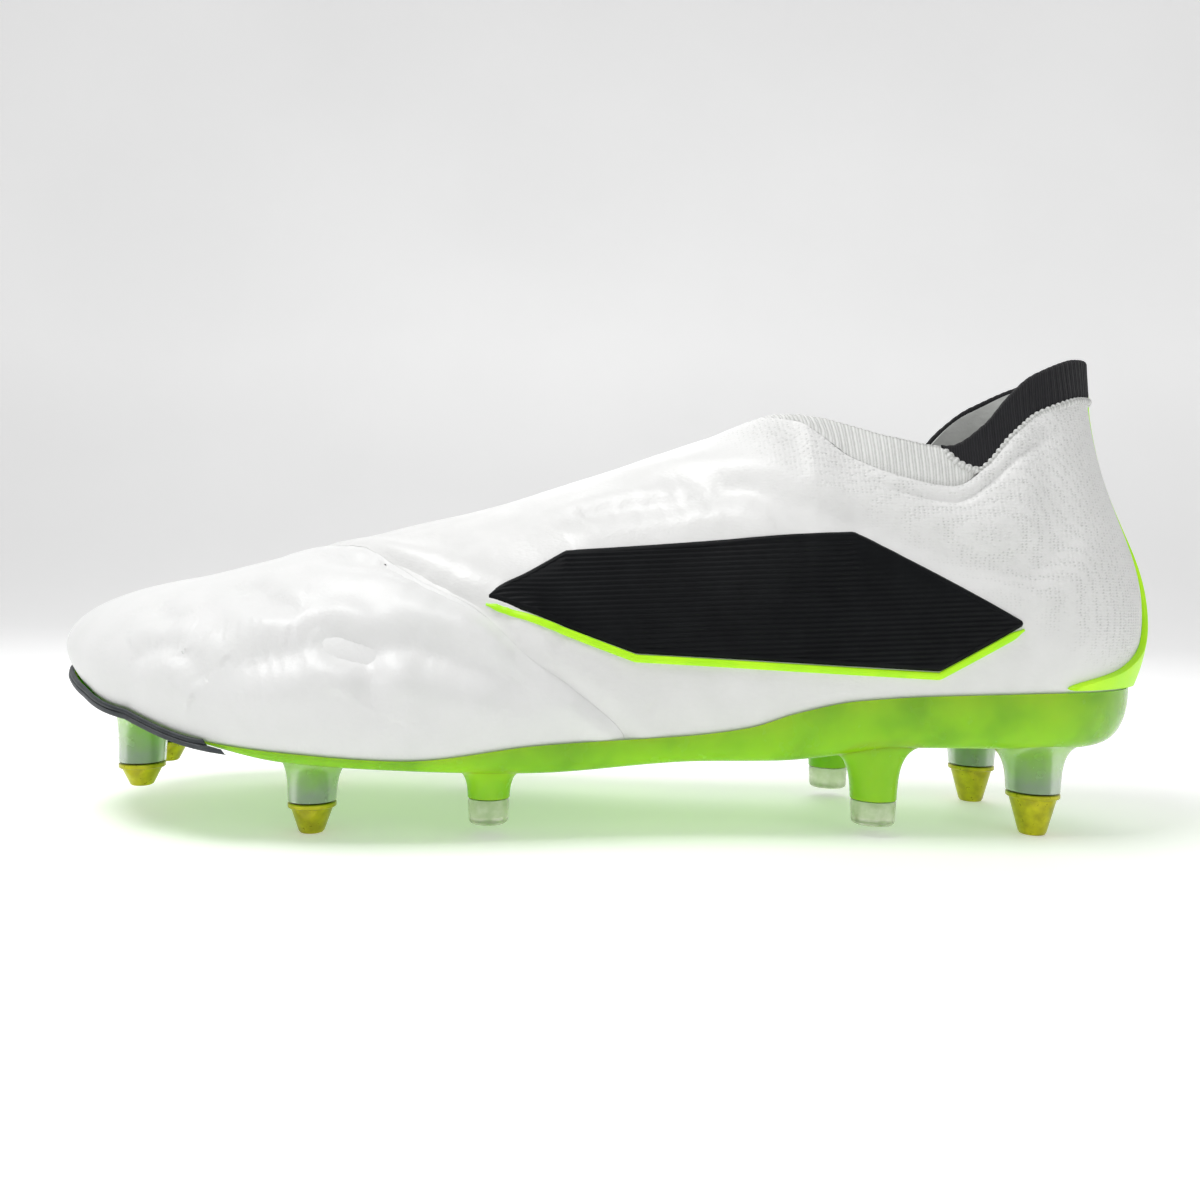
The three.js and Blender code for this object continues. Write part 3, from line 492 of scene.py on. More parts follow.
class Look:
    """A procedural material: textures that feed one Principled shader."""

    def __init__(self, name, **sockets):
        self.material = bpy.data.materials.new(name)
        self.material.use_nodes = True
        self.tree = self.material.node_tree
        self.shader = self.tree.nodes["Principled BSDF"]
        self.bumps = None
        for socket, value in sockets.items():
            self.shader.inputs[socket.replace("_", " ")].default_value = value

    def add(self, kind, **settings):
        node = self.tree.nodes.new(kind)
        for key, value in settings.items():
            setattr(node, key, value)
        return node

    def link(self, source, target):
        self.tree.links.new(source, target)

    def math(self, operation, a, b):
        node = self.add("ShaderNodeMath", operation=operation)
        for socket, value in zip(node.inputs, (a, b)):
            if isinstance(value, (int, float)):
                socket.default_value = value
            else:
                self.link(value, socket)
        return node.outputs[0]

    def place(self, size, uv=False, stretch=(1, 1, 1)):
        """Coordinates whose unit is size millimetres, on the object or on its pattern."""
        source = self.add("ShaderNodeTexCoord").outputs["UV" if uv else "Object"]
        scale = 1 / size if uv else 1 / (size * MM)
        mapping = self.add("ShaderNodeMapping")
        mapping.inputs["Scale"].default_value = [scale / k for k in stretch]
        self.link(source, mapping.inputs["Vector"])
        return mapping.outputs[0]

    def noise(self, size, detail=3):
        node = self.add("ShaderNodeTexNoise")
        node.inputs["Scale"].default_value = 1
        node.inputs["Detail"].default_value = detail
        self.link(self.place(size), node.inputs["Vector"])
        return node.outputs["Fac"]

    def cells(self, size, stretch=(1, 1, 1), random=1):
        node = self.add("ShaderNodeTexVoronoi", feature="F1")
        node.inputs["Scale"].default_value = 1
        node.inputs["Randomness"].default_value = random
        self.link(self.place(size, stretch=stretch), node.inputs["Vector"])
        return node.outputs["Distance"]

    def wave(self, size, uv=True, direction="X", wobble=0):
        node = self.add("ShaderNodeTexWave", bands_direction=direction)
        node.inputs["Scale"].default_value = WAVE_SCALE
        node.inputs["Distortion"].default_value = wobble
        self.link(self.place(size, uv), node.inputs["Vector"])
        return node.outputs["Fac"]

    def ramp(self, source, stops):
        node = self.add("ShaderNodeValToRGB")
        points = node.color_ramp.elements
        while len(points) < len(stops):
            points.new(0.5)
        for point, (at, colour) in zip(points, stops):
            point.position = at
            point.color = (*colour, 1)
        self.link(source, node.inputs[0])
        return node.outputs["Color"]

    def spread(self, source, low, high, start=0.3, end=0.7):
        """A number from low to high as source goes from start to end."""
        node = self.add("ShaderNodeMapRange", clamp=True)
        for socket, value in zip(node.inputs[1:5], (start, end, low, high)):
            socket.default_value = value
        self.link(source, node.inputs[0])
        return node.outputs[0]

    def colour(self, source, stops):
        self.link(self.ramp(source, stops), self.shader.inputs["Base Color"])
        return self

    def roughness(self, source, low, high):
        self.link(self.spread(source, low, high), self.shader.inputs["Roughness"])
        return self

    def bump(self, height, depth):
        """Relief of depth millimetres where height runs from 0 to 1."""
        node = self.add("ShaderNodeBump")
        node.inputs["Strength"].default_value = 1
        node.inputs["Distance"].default_value = depth * MM
        self.link(height, node.inputs["Height"])
        if self.bumps is not None:
            self.link(self.bumps, node.inputs["Normal"])
        self.bumps = node.outputs[0]
        self.link(self.bumps, self.shader.inputs["Normal"])
        return self


def two(low, high, start=0.35, end=0.65):
    return [(start, low), (end, high)]


def leather_look():
    look = Look("leather", Coat_Weight=0.08, Coat_Roughness=0.35, Specular_IOR_Level=0.45)
    look.colour(look.noise(11, 4), two((0.835, 0.84, 0.83), (0.865, 0.865, 0.86), 0.3, 0.7))
    look.roughness(look.noise(5, 4), 0.42, 0.52)
    look.bump(look.cells(1.1, random=0.9), 0.035)
    look.bump(look.noise(0.5, 3), 0.05)
    return look.bump(look.noise(3.5, 2), 0.08).material


KNIT_SLANT = 0.62  # rise of the knit's edge towards the toe, along the shoe
KNIT_EDGE = (0.110, 0.122)  # where the knit fades in, as height in metres above the origin


def textile_look():
    """White upper textile: smooth in front, an open knit behind a slanted line."""
    look = Look("textile", Sheen_Weight=0.12, Sheen_Roughness=0.5, Specular_IOR_Level=0.45)
    xyz = look.add("ShaderNodeSeparateXYZ")
    look.link(look.add("ShaderNodeTexCoord").outputs["Object"], xyz.inputs[0])
    slope = look.math("MULTIPLY", xyz.outputs[0], KNIT_SLANT)
    above = look.math("ADD", xyz.outputs[2], slope)
    knit = look.spread(above, 0, 1, *KNIT_EDGE)
    rows = look.cells(0.85, stretch=(1.25, 1.25, 0.8), random=0.35)
    holes = look.spread(rows, 0, 1, 0.1, 0.6)
    # Painted shade: the colour is darkened in the knit's holes, where shade falls, on top of a
    # random mottle.
    shade = look.math("MULTIPLY", knit, look.spread(rows, 1, 0, 0.05, 0.32))
    mottle = look.spread(look.noise(9, 3), 0.9, 1.0, 0.3, 0.7)
    dark = look.math("SUBTRACT", mottle, look.math("MULTIPLY", shade, 0.55))
    look.colour(dark, two((0.5, 0.51, 0.49), (0.86, 0.86, 0.85), 0.2, 1.0))
    look.link(look.spread(knit, 0.4, 0.62, 0, 1), look.shader.inputs["Roughness"])
    look.bump(look.math("MULTIPLY", holes, knit), 0.16)
    look.bump(look.cells(0.6, stretch=(1.8, 1.8, 1), random=1), 0.04)
    return look.bump(look.noise(2.5, 4), 0.09).material


def rib_look(name, low, high, pitch, depth, sheen, rough):
    """Rib knit whose ribs stand across the pattern's first direction."""
    look = Look(name, Sheen_Weight=sheen, Sheen_Roughness=0.5, Specular_IOR_Level=0.3)
    ribs = look.wave(pitch, wobble=0.6)
    stitches = look.wave(pitch * 0.8, direction="Y", wobble=0.8)
    stitches = look.math("MULTIPLY", stitches, 0.3)
    relief = look.math("ADD", look.math("MULTIPLY", ribs, 0.7), stitches)
    # The colour follows the relief, darker in the valleys between ribs: painted shade, with a
    # random mottle added.
    shade_and_mottle = look.math("ADD", relief, look.math("MULTIPLY", look.noise(7, 3), 0.35))
    look.colour(shade_and_mottle, two(low, high, 0.25, 0.8))
    look.roughness(look.noise(1.5, 2), rough - 0.08, rough)
    look.bump(relief, depth)
    return look.bump(look.noise(0.35, 3), depth * 0.5).material


def plain_look(name, low, high, size, rough, grain, depth, **sockets):
    """Moulded, foamed or woven stuff with a mottled colour and a fine grain."""
    look = Look(name, **sockets)
    look.colour(look.noise(size, 4), two(low, high))
    look.roughness(look.noise(size * 0.4, 3), rough - 0.05, rough + 0.05)
    return look.bump(look.noise(grain, 3), depth).material


def plate_look():
    look = Look(
        "plate", Coat_Weight=0.2, Coat_Roughness=0.08, Specular_IOR_Level=0.3,
        Subsurface_Weight=0.45, Subsurface_Radius=(0.35, 1.0, 0.1),
        Subsurface_Scale=0.004, IOR=1.5,
    )
    look.colour(look.noise(22, 3), [
        (0.3, (0.16, 0.42, 0.0)), (0.52, (0.28, 0.64, 0.0)), (0.75, (0.38, 0.76, 0.001)),
    ])
    look.roughness(look.noise(6, 3), 0.16, 0.3)
    look.bump(look.noise(9, 2), 0.15)
    return look.bump(look.noise(0.9, 3), 0.02).material


def stud_base_look():
    """Translucent plastic that turns from green at the plate to grey green at the seat."""
    look = Look(
        "stud_base", Coat_Weight=0.5, Coat_Roughness=0.1, Transmission_Weight=0.25,
        Subsurface_Weight=0.3, Subsurface_Radius=(0.5, 1.0, 0.4), Subsurface_Scale=0.003,
        IOR=1.46,
    )
    xyz = look.add("ShaderNodeSeparateXYZ")
    look.link(look.place(1, uv=True), xyz.inputs[0])
    mottled = look.math("MULTIPLY", look.math("SUBTRACT", look.noise(4, 3), 0.5), 0.5)
    down = look.math("ADD", xyz.outputs[1], mottled)
    look.colour(down, [
        (0.12, (0.26, 0.6, 0.012)), (0.45, (0.3, 0.56, 0.14)), (0.8, (0.32, 0.46, 0.29)),
    ])
    look.roughness(look.noise(3, 3), 0.16, 0.3)
    return look.bump(look.noise(0.8, 3), 0.02).material


def stud_metal_look():
    look = Look("stud_metal", Metallic=0.55, Anisotropic=0.3, Coat_Weight=0.25)
    look.colour(look.noise(3, 4), two((0.38, 0.37, 0.0), (0.58, 0.57, 0.001)))
    look.roughness(look.noise(1.2, 4), 0.26, 0.42)
    look.bump(look.wave(0.22, uv=False, direction="Z", wobble=0.3), 0.006)
    return look.bump(look.noise(1.6, 4), 0.03).material


def clear_look():
    look = Look(
        "clear", Transmission_Weight=0.6, IOR=1.47, Coat_Weight=0.4, Coat_Roughness=0.05,
    )
    look.colour(look.noise(3, 3), two((0.6, 0.72, 0.45), (0.85, 0.92, 0.7)))
    look.roughness(look.noise(2, 3), 0.05, 0.16)
    return look.bump(look.noise(1.2, 3), 0.03).material


# Painted glow: the lime film and lime rubber emit light of their own so that they look
# fluorescent.
LIME_PAINTED_GLOW = {"Emission_Color": (0.42, 0.95, 0.0, 1), "Emission_Strength": 0.12}
METAL = {"Metallic": 1.0}

# Two colours, the size of their mottling, roughness, the grain's size and depth, and sockets.
PLAIN = {
    "black_rubber": (
        (0.0015, 0.002, 0.003), (0.004, 0.005, 0.006), 9, 0.55, 0.5, 0.02,
        {"Specular_IOR_Level": 0.15},
    ),
    "lime_film": (
        (0.42, 0.88, 0.002), (0.55, 0.98, 0.004), 12, 0.42, 0.6, 0.015, LIME_PAINTED_GLOW,
    ),
    "lime_rubber": (
        (0.4, 0.86, 0.002), (0.52, 0.96, 0.004), 8, 0.5, 0.4, 0.02, LIME_PAINTED_GLOW,
    ),
    "rim": ((0.02, 0.026, 0.03), (0.045, 0.052, 0.058), 6, 0.5, 0.6, 0.04, {}),
    "steel": ((0.45, 0.46, 0.47), (0.6, 0.61, 0.62), 4, 0.3, 0.4, 0.01, METAL),
    "brass": ((0.42, 0.28, 0.09), (0.55, 0.38, 0.13), 4, 0.32, 0.4, 0.01, METAL),
    "foam": ((0.6, 0.6, 0.55), (0.7, 0.7, 0.65), 8, 0.92, 0.7, 0.2, {}),
    "lining": (
        (0.6, 0.61, 0.59), (0.74, 0.75, 0.73), 6, 0.88, 0.6, 0.12, {"Sheen_Weight": 0.15},
    ),
    "stiffener": ((0.5, 0.52, 0.54), (0.6, 0.62, 0.64), 9, 0.6, 0.9, 0.04, {}),
    "board": ((0.5, 0.45, 0.35), (0.66, 0.6, 0.48), 2, 0.85, 0.4, 0.08, {}),
    "cover": (
        (0.02, 0.021, 0.024), (0.04, 0.042, 0.047), 4, 0.88, 0.5, 0.12, {"Sheen_Weight": 0.1},
    ),
}
LOOKS = {
    "leather": leather_look(),
    "knit": textile_look(),
    "cuff_knit": rib_look(
        "cuff_knit", (0.62, 0.63, 0.6), (0.86, 0.865, 0.85), 0.75, 0.16, 0.15, 0.8
    ),
    "black_knit": rib_look(
        "black_knit", (0.004, 0.004, 0.005), (0.016, 0.016, 0.019), 0.6, 0.12, 0.08, 0.85
    ),
    "plate": plate_look(),
    "stud_base": stud_base_look(),
    "stud_metal": stud_metal_look(),
    "clear": clear_look(),
}
for look_name, (*measures, sockets) in PLAIN.items():
    LOOKS[look_name] = plain_look(look_name, *measures, **sockets)

# The CAD nodes that no finer piece replaces are seen in these finishes.
slots = {part["node"]: part["material_slot"] for part in frame["record"]["subparts"]}
for node_name, node in nodes.items():
    node.data.materials.clear()
    node.data.materials.append(LOOKS[slots[node_name]])

# ---- Upper ------------------------------------------------------------------------------

# Creases of the worn-in leather and textile, seen from the side: places along the shoe and
# heights in millimetres, with the depth and half width of each.
CREASES = [
    (
        [(-70, 65), (-51, 63), (-44, 61), (-36, 57), (-29, 54), (-21, 49), (-15, 42), (-11, 37)],
        1.5, 3.6,
    ),
    ([(-66, 51), (-58, 46), (-51, 41), (-49, 36), (-50, 31)], 1.2, 3.0),
    (
        [(-83, 39), (-72, 42), (-62, 44), (-51, 44), (-41, 44), (-31, 42), (-21, 38), (-13, 34)],
        1.6, 3.8,
    ),
    ([(-107, 39), (-102, 42), (-97, 43), (-92, 43)], 0.8, 2.6),
    ([(-93, 43), (-89, 39), (-85, 36)], 0.9, 2.6),
    ([(-87, 58), (-80, 56), (-77, 54), (-71, 52), (-66, 51)], 1.0, 3.0),
    ([(-106, 53), (-102, 50), (-96, 48)], 0.6, 2.6),
    ([(-13, 40), (-4, 35), (3, 30), (8, 25)], 0.8, 3.0),
    (
        [(8, 86), (22, 85), (36, 82), (50, 77), (64, 73), (74, 69), (87, 65), (99, 65), (107, 70),
         (109, 80)],
        1.1, 3.8,
    ),
    ([(-12, 73), (0, 77), (9, 78), (20, 79), (33, 81)], 0.8, 3.0),
]
CREASE_STEP = 1.5
CREASE_REACH = 75  # no point further along the shoe than this belongs to a crease
SEARCH = 120


def nearest_on_side(side, flat):
    """Points of the last whose place along the shoe and height come closest to flat."""
    places = np.linspace(-1, 1, SEARCH * 3)[:, None]
    levels = np.linspace(FEATHER, 1, SEARCH)[None, :]
    u, v = np.broadcast_arrays(to_u(side, places), levels)
    surface = last_point(u, v).reshape(-1, 3)
    along, up = (surface[:, axis][:, None] for axis in (0, 2))
    gaps = (along - flat[:, 0]) ** 2 + (up - flat[:, 1]) ** 2
    return surface[gaps.argmin(0)]


def crease_lines():
    lines = []
    for points, depth, width in CREASES:
        flat, along = chain(points, CREASE_STEP)
        fade = smooth_step(along, -0.05, 0.2) * (1 - smooth_step(along, 0.8, 1.05))
        for side in (LATERAL, MEDIAL):
            lines.append((nearest_on_side(side, flat), depth * fade, width))
    return lines


LINES = crease_lines()


def creased(points):
    """How far the upper stands out from the last where its creases and pads shape it."""
    flat = points.reshape(-1, 3)
    total = np.zeros(len(flat))
    for line, depths, width in LINES:
        near = np.where(np.abs(flat[:, 0] - line[:, 0].mean()) < CREASE_REACH)[0]
        gaps = np.linalg.norm(flat[near][:, None] - line[None], axis=-1)
        k = gaps.argmin(1)
        gap, depth = gaps[np.arange(len(near)), k], depths[k]
        lip = 0.6 * hump((gap - 2.1 * width) / (1.2 * width))
        total[near] += depth * (lip - hump(gap / width))
    return total.reshape(points.shape[:-1])


# The leather ends along the deepest crease, from the ridge down to the feather line.
LEATHER_EDGE = [(-44, 61), (-29, 54), (-15, 42), (-4, 34)]
edge_flat = np.array(LEATHER_EDGE, float)
edge_levels = level_at(LATERAL, edge_flat[:, 0] / HALF, edge_flat[:, 1])
leather_edge = through(sorted(
    [[0, 0.05], [FEATHER, 0.045], [1, -0.56]]
    + [[float(v), float(x / HALF)] for v, x in zip(edge_levels, edge_flat[:, 0])]
))
SEAM_GAP = 0.03
PATTERN_HEIGHT = 110
CUFF_TIP = 0.262
CUFF_OPEN = 0.335


def quarter_top(s):
    return 1 - (1 - CUFF_SEAM) * smooth_step(s, CUFF_TIP, CUFF_OPEN)


def pattern_of(u, v):
    """The pattern's coordinates in millimetres: along the shoe, and up it."""
    return np.stack([u * LENGTH, v * PATTERN_HEIGHT], -1)


def seam_relief(to_seam, swelling):
    """A swelling beside the seam and a dip into it, at to_seam millimetres from it."""
    return swelling * hump((to_seam - 5) / 3.5) - 0.5 * hump(to_seam / 2.2)


def make_forefoot():
    rows, columns = 150, 440
    v = np.linspace(0, 1, rows)[:, None]
    k = np.linspace(-1, 1, columns)[None, :]
    reach = place_of(leather_edge(v)) - SEAM_GAP / LENGTH
    u, v = np.broadcast_arrays(k * reach, v)
    base = last_point(u, v)
    to_seam = (1 - np.abs(k)) * reach * LENGTH
    turned = seam_relief(to_seam, 0.45)
    under = smooth_step(v, FEATHER, WIDEST)
    soft = 0.26 * wander(base, 24, 3.1) + 0.04 * wander(base, 7, 7.7)
    out = under * (creased(base) + soft) + turned * smooth_step(v, 0.1, 0.2)
    outer = last_offset(u, v, out)
    inner = last_offset(u, v, -SKIN)
    piece = shell(
        "upper_forefoot", [(outer, inner, pattern_of(u, v), v > TOP)], LOOKS["leather"]
    )
    return finish_piece(piece, "root", "leather", "vamp")


SETTLING_ROUNDS = 4  # the quarter's top and front depend on each other, so they settle


def make_quarter():
    rows, columns = 130, 560
    share_up = np.linspace(0, 1, rows)[:, None]
    k = np.linspace(0, 1, columns)[None, :]
    v = share_up + 0 * k
    for _ in range(SETTLING_ROUNDS):
        start = place_of(leather_edge(v)) + SEAM_GAP / LENGTH
        u = start + k * (2 - 2 * start)
        s = around(u)[1]
        top = quarter_top(s)
        v = share_up * (top - np.where(top < 1, 0.004, 0))
    base = last_point(u, v)
    swell = puff(u, v)
    under = smooth_step(v, FEATHER, WIDEST)
    soft = 0.25 * wander(base, 18, 5.3) + 0.1 * wander(base, 6, 2.2)
    # A stitched channel runs a little below the collar's seam on both sides.
    channel = smooth_step(s, 0.42, 0.5) * (1 - smooth_step(s, 0.72, 0.8))
    strip = smooth_step(np.abs(u - 1), 0.03, 0.06)
    out = under * strip * (creased(base) + soft) + swell
    out += channel * (0.5 * hump((v - 0.83) / 0.02) - 0.75 * hump((v - 0.795) / 0.012))
    to_seam = np.minimum(k, 1 - k) * (2 - 2 * start) * LENGTH
    out += seam_relief(to_seam, 0.35) * smooth_step(v, 0.1, 0.2)
    outer = last_offset(u, v, out)
    inner = last_offset(u, v, swell - SKIN)
    sealed = (v > TOP) & (s <= CUFF_TIP + 1e-6)
    piece = shell("upper_quarter", [(outer, inner, pattern_of(u, v), sealed)], LOOKS["knit"])
    return finish_piece(piece, "root", "knit", "knit_quarter")


def rim_up(u):
    """Direction of the upper's surface at the rim, pointing out of the shoe."""
    one = np.ones_like(u)
    return unit(last_point(u, one) - last_point(u, one - 0.04))


ROLL_STEPS = 6


def rimmed(u, v, outer_depth, inner_depth):
    """Outer and inner grids of a knit band that is rolled over at the collar's rim."""
    angle = np.linspace(0, math.pi / 2, ROLL_STEPS + 1)[1:, None]
    s = around(u[-1])[1]
    roll = smooth_step(s, THROAT, THROAT + 0.04)
    half = (outer_depth[-1] - inner_depth[-1]) / 2
    middle = (outer_depth[-1] + inner_depth[-1]) / 2
    spread = half * (1 - roll * (1 - np.cos(angle)))
    lift = (roll * half * np.sin(angle))[..., None] * rim_up(u[-1])
    grids = []
    for way, depth in ((1, outer_depth), (-1, inner_depth)):
        side = last_offset(u, v, depth)
        top_u, top_v = np.broadcast_arrays(u[-1], np.ones((ROLL_STEPS, 1)))
        turned = last_offset(top_u, top_v, middle + way * spread) + lift
        grids.append(np.concatenate([side, turned]))
    pattern = pattern_of(np.concatenate([u, top_u]), np.concatenate([v, top_v + 0.06 * angle]))
    sealed = np.zeros(pattern.shape[:2], bool)
    sealed[len(u) - 1:] = (s < THROAT + 0.005) | (angle[-1] > 0)
    return grids[0], grids[1], pattern, sealed


BLACK_FOOT = 0.637
BLACK_TOP = 0.578
CUFF_RIB = 1.5
COLLAR_RIB = 1.9


def black_edge(v):
    """Place of the black collar's slanted front edge at level v."""
    return BLACK_FOOT + (BLACK_TOP - BLACK_FOOT) * (v - CUFF_SEAM) / (1 - CUFF_SEAM)


def make_cuff():
    rows, columns = 26, 420
    share_up = np.linspace(0, 1, rows)[:, None]
    k = np.linspace(0, 1, columns)[None, :]
    sheets = []
    for side in (LATERAL, MEDIAL):
        back = black_edge(CUFF_SEAM + share_up * (1 - CUFF_SEAM)) - 0.002
        s = CUFF_TIP + k * (back - CUFF_TIP)
        low = quarter_top(s)
        v = low + share_up * (1 - low)
        u = to_u(side, s)
        ribs = 0.09 * np.cos(u * LENGTH * 2 * math.pi / CUFF_RIB)
        edge = -0.5 * hump(share_up / 0.1) * smooth_step(s, 0.28, 0.36)
        base = last_point(u, v)
        proud = CUFF_PROUD * smooth_step(s, CUFF_TIP, 0.4)
        out = proud + ribs + edge + 0.25 * wander(base, 7, 1.9)
        sheets.append(rimmed(u, v, out, np.full(u.shape, -SKIN)))
    piece = shell("cuff", sheets, LOOKS["cuff_knit"])
    return finish_piece(piece, "root", "cuff_knit", "collar_cuff")


def make_heel_collar():
    rows, columns = 24, 900
    share_up = np.linspace(0, 1, rows)[:, None]
    k = np.linspace(0, 1, columns)[None, :]
    v = CUFF_SEAM + 0.002 + share_up * (0.998 - CUFF_SEAM) + 0 * k
    front = place_of(black_edge(v))
    u = front + k * (2 - 2 * front)
    ribs = 0.22 * np.abs(np.cos(u * LENGTH * math.pi / COLLAR_RIB)) - 0.1
    base = last_point(u, v)
    out = CUFF_PROUD + 0.1 + ribs + 0.3 * wander(base, 12, 4.4)
    out -= 0.45 * hump(share_up / 0.08)
    grids = rimmed(u, v, out, np.full(u.shape, -SKIN - 0.2))
    piece = shell("heel_collar_knit", [grids], LOOKS["black_knit"])
    return finish_piece(piece, "root", "black_knit", "heel_collar")


WELT_PITCH = 1.7
WELT_RADIUS = 0.75


def cord_on_upper(u, v, lift, radius, stretch, sides):
    """Sections of a cord lying on the upper, and their pattern. Its section is an ellipse,
    radius by stretch out of the surface and along it."""
    middle = last_offset(u, v, lift)
    out = last_normal(u, v)
    aside = np.cross(unit(np.gradient(middle, axis=0)), out)
    angle = full_turn(sides)[None, :, None]
    ring = stretch[0] * np.cos(angle) * out[:, None] + stretch[1] * np.sin(angle) * aside[:, None]
    turn = angle[..., 0]
    pattern = pattern_of(u[:, None] + 0 * turn, v[:, None] + 0.02 * turn)
    return middle[:, None] + radius[:, None, None] * ring, pattern


def make_welt():
    """Row of knit loops that joins the black collar to the white knit, as a lumpy bead."""
    steps = 900
    front = np.linspace(0.999, CUFF_SEAM, 90)
    foot, up = place_of(BLACK_FOOT), place_of(black_edge(front))
    u = np.concatenate([up, np.linspace(foot, 2 - foot, steps), 2 - up[::-1]])
    v = np.concatenate([front, np.full(steps, CUFF_SEAM - 0.002), front[::-1]])
    lift = 0.35
    hops = np.linalg.norm(np.diff(last_offset(u, v, lift), axis=0), axis=1)
    run = np.concatenate([[0], np.cumsum(hops)])
    loops = np.abs(np.sin(run * math.pi / WELT_PITCH))
    ends = smooth_step(run, 0, 1.5) * (1 - smooth_step(run, run[-1] - 1.5, run[-1]))
    radius = WELT_RADIUS * (0.55 + 0.45 * loops) * (0.3 + 0.7 * ends)
    points, pattern = cord_on_upper(u, v, lift, radius, (1, 1.3), 14)
    piece = sweep("collar_welt", points, LOOKS["cuff_knit"], pattern)
    return finish_piece(piece, "root", "cuff_knit")


make_forefoot()
make_quarter()
make_cuff()
make_heel_collar()
make_welt()

# ---- Trim -------------------------------------------------------------------------------

PANEL_FRONT = -0.19
PANEL_BACK = 0.7
PANEL_BASE = 32
PANEL_RANGE = 47
PANEL_UPPER = [[PANEL_FRONT, 0.5], [-0.06, 0.74], [0.42, 0.86], [PANEL_BACK, 0.42]]
PANEL_LOWER = [[PANEL_FRONT, 0.5], [0.06, 0.24], [0.56, 0.18], [PANEL_BACK, 0.42]]
PANEL_RIB = 1.15
PANEL_BORDER = 1.0
PIPING_WIDTH = 1.8


def panel_line(corners, s):
    places, shares = np.array(corners, float).T
    return PANEL_BASE + PANEL_RANGE * np.interp(s, places, shares)


def upper_relief(u, v):
    """How far the finished quarter stands out at places on the side of the upper."""
    under = smooth_step(v, FEATHER, WIDEST)
    return under * creased(last_point(u, v)) + puff(u, v)


def make_panel(side, label):
    rows, columns = 300, 150
    q = np.linspace(0, 1, rows)[:, None]
    s = np.linspace(PANEL_FRONT + 0.008, PANEL_BACK - 0.008, columns)[None, :]
    low, high = panel_line(PANEL_LOWER, s), panel_line(PANEL_UPPER, s)
    z = low + q * (high - low)
    s = s + 0 * q
    v = level_at(side, s, z)
    u = to_u(side, s)
    edge = np.minimum(np.minimum(z - low, high - z) * 0.9, (s - PANEL_FRONT) * HALF)
    edge = np.minimum(edge, (PANEL_BACK - s) * HALF)
    ribbed = smooth_step(edge, PANEL_BORDER, PANEL_BORDER + 0.25)
    rib = 0.5 - 0.5 * np.cos((z - 0.06 * s * HALF) * 2 * math.pi / PANEL_RIB)
    round_off = 0.45 * hump(np.maximum(edge, 0) / 0.35)
    depth = upper_relief(u, v) + 0.72 - 0.3 * ribbed * (1 - rib) - round_off
    outer = last_offset(u, v, depth)
    inner = last_offset(u, v, upper_relief(u, v) + 0.05)
    sheet = (outer, inner, pattern_of(u, v), np.zeros(u.shape, bool))
    piece = shell("side_panel_" + label + "_ribbed", [sheet], LOOKS["black_rubber"])
    finish_piece(piece, "root", "black_rubber", "side_panel_" + label)


def make_piping(side, label):
    """Round cord of film along the panel's lower edge, thinning out at its two ends."""
    steps = 260
    s = np.linspace(PANEL_FRONT + 0.004, PANEL_BACK - 0.004, steps)
    z = panel_line(PANEL_LOWER, s) - 0.2 - PIPING_WIDTH / 2
    v = level_at(side, s, z)
    u = to_u(side, s)
    ends = smooth_step(s, s[0], s[0] + 0.02) * (1 - smooth_step(s, s[-1] - 0.02, s[-1]))
    size = PIPING_WIDTH / 2 * (0.35 + 0.65 * ends)
    points, pattern = cord_on_upper(u, v, upper_relief(u, v) + 0.3, size, (0.62, 1), 12)
    piece = sweep("panel_piping_" + label + "_cord", points, LOOKS["lime_rubber"], pattern)
    finish_piece(piece, "root", "lime_rubber", "panel_piping_" + label)


spine_half_width = through([
    [0.17, 47], [0.23, 31], [0.3, 19], [0.4, 13], [0.55, 9.5], [0.75, 7], [0.95, 4],
])
SPINE_TOP = 0.935
SPINE_BOTTOM = 0.168


def spine_u(k, v):
    girth = math.pi * float(lateral_outline(1)) + 2 * float(bulge(1))
    return 1 + k * (1 - HEEL_CENTRE) / girth * spine_half_width(v)


def make_spine():
    rows, columns = 110, 90
    v = np.linspace(SPINE_BOTTOM, SPINE_TOP, rows)[:, None]
    k = np.linspace(-1, 1, columns)[None, :]
    u = spine_u(k, v)
    v = v + 0 * k
    to_edge = (1 - np.abs(k)) * spine_half_width(v)
    top_edge = (SPINE_TOP - v) * PATTERN_HEIGHT
    thick = 1.2 - 0.8 * hump(np.minimum(to_edge, top_edge) / 0.4)
    over_collar = CUFF_PROUD * smooth_step(v, 0.83, 0.87)
    outer = last_offset(u, v, thick + over_collar + 0.25)
    inner = last_offset(u, v, 0.05 + 0 * u)
    sheet = (outer, inner, pattern_of(u, v), np.zeros(u.shape, bool))
    piece = shell("heel_spine_strip", [sheet], LOOKS["lime_film"])
    finish_piece(piece, "root", "lime_film", "heel_spine")


def make_badge():
    rings, sides = 10, 48
    t = np.linspace(0, 1, rings)[:, None]
    angle = np.linspace(0, 2 * math.pi, sides + 1)[None, :]
    u = 1 + 0.0075 * t * np.cos(angle)
    v = 0.425 + 0.055 * t * np.clip(1.25 * np.sin(angle), -1, 1)
    depth = 1.35 + 0.5 * (1 - t ** 6)
    outer = last_offset(u, v, depth)
    inner = last_offset(u, v, 1.0 + 0 * u)
    sealed = np.zeros(u.shape, bool)
    sealed[0] = True
    sheet = (outer, inner, pattern_of(u, v), sealed)
    piece = shell("heel_badge_pill", [sheet], LOOKS["black_rubber"])
    finish_piece(piece, "root", "black_rubber", "heel_badge")


# ---- Sole plate and studs ---------------------------------------------------------------

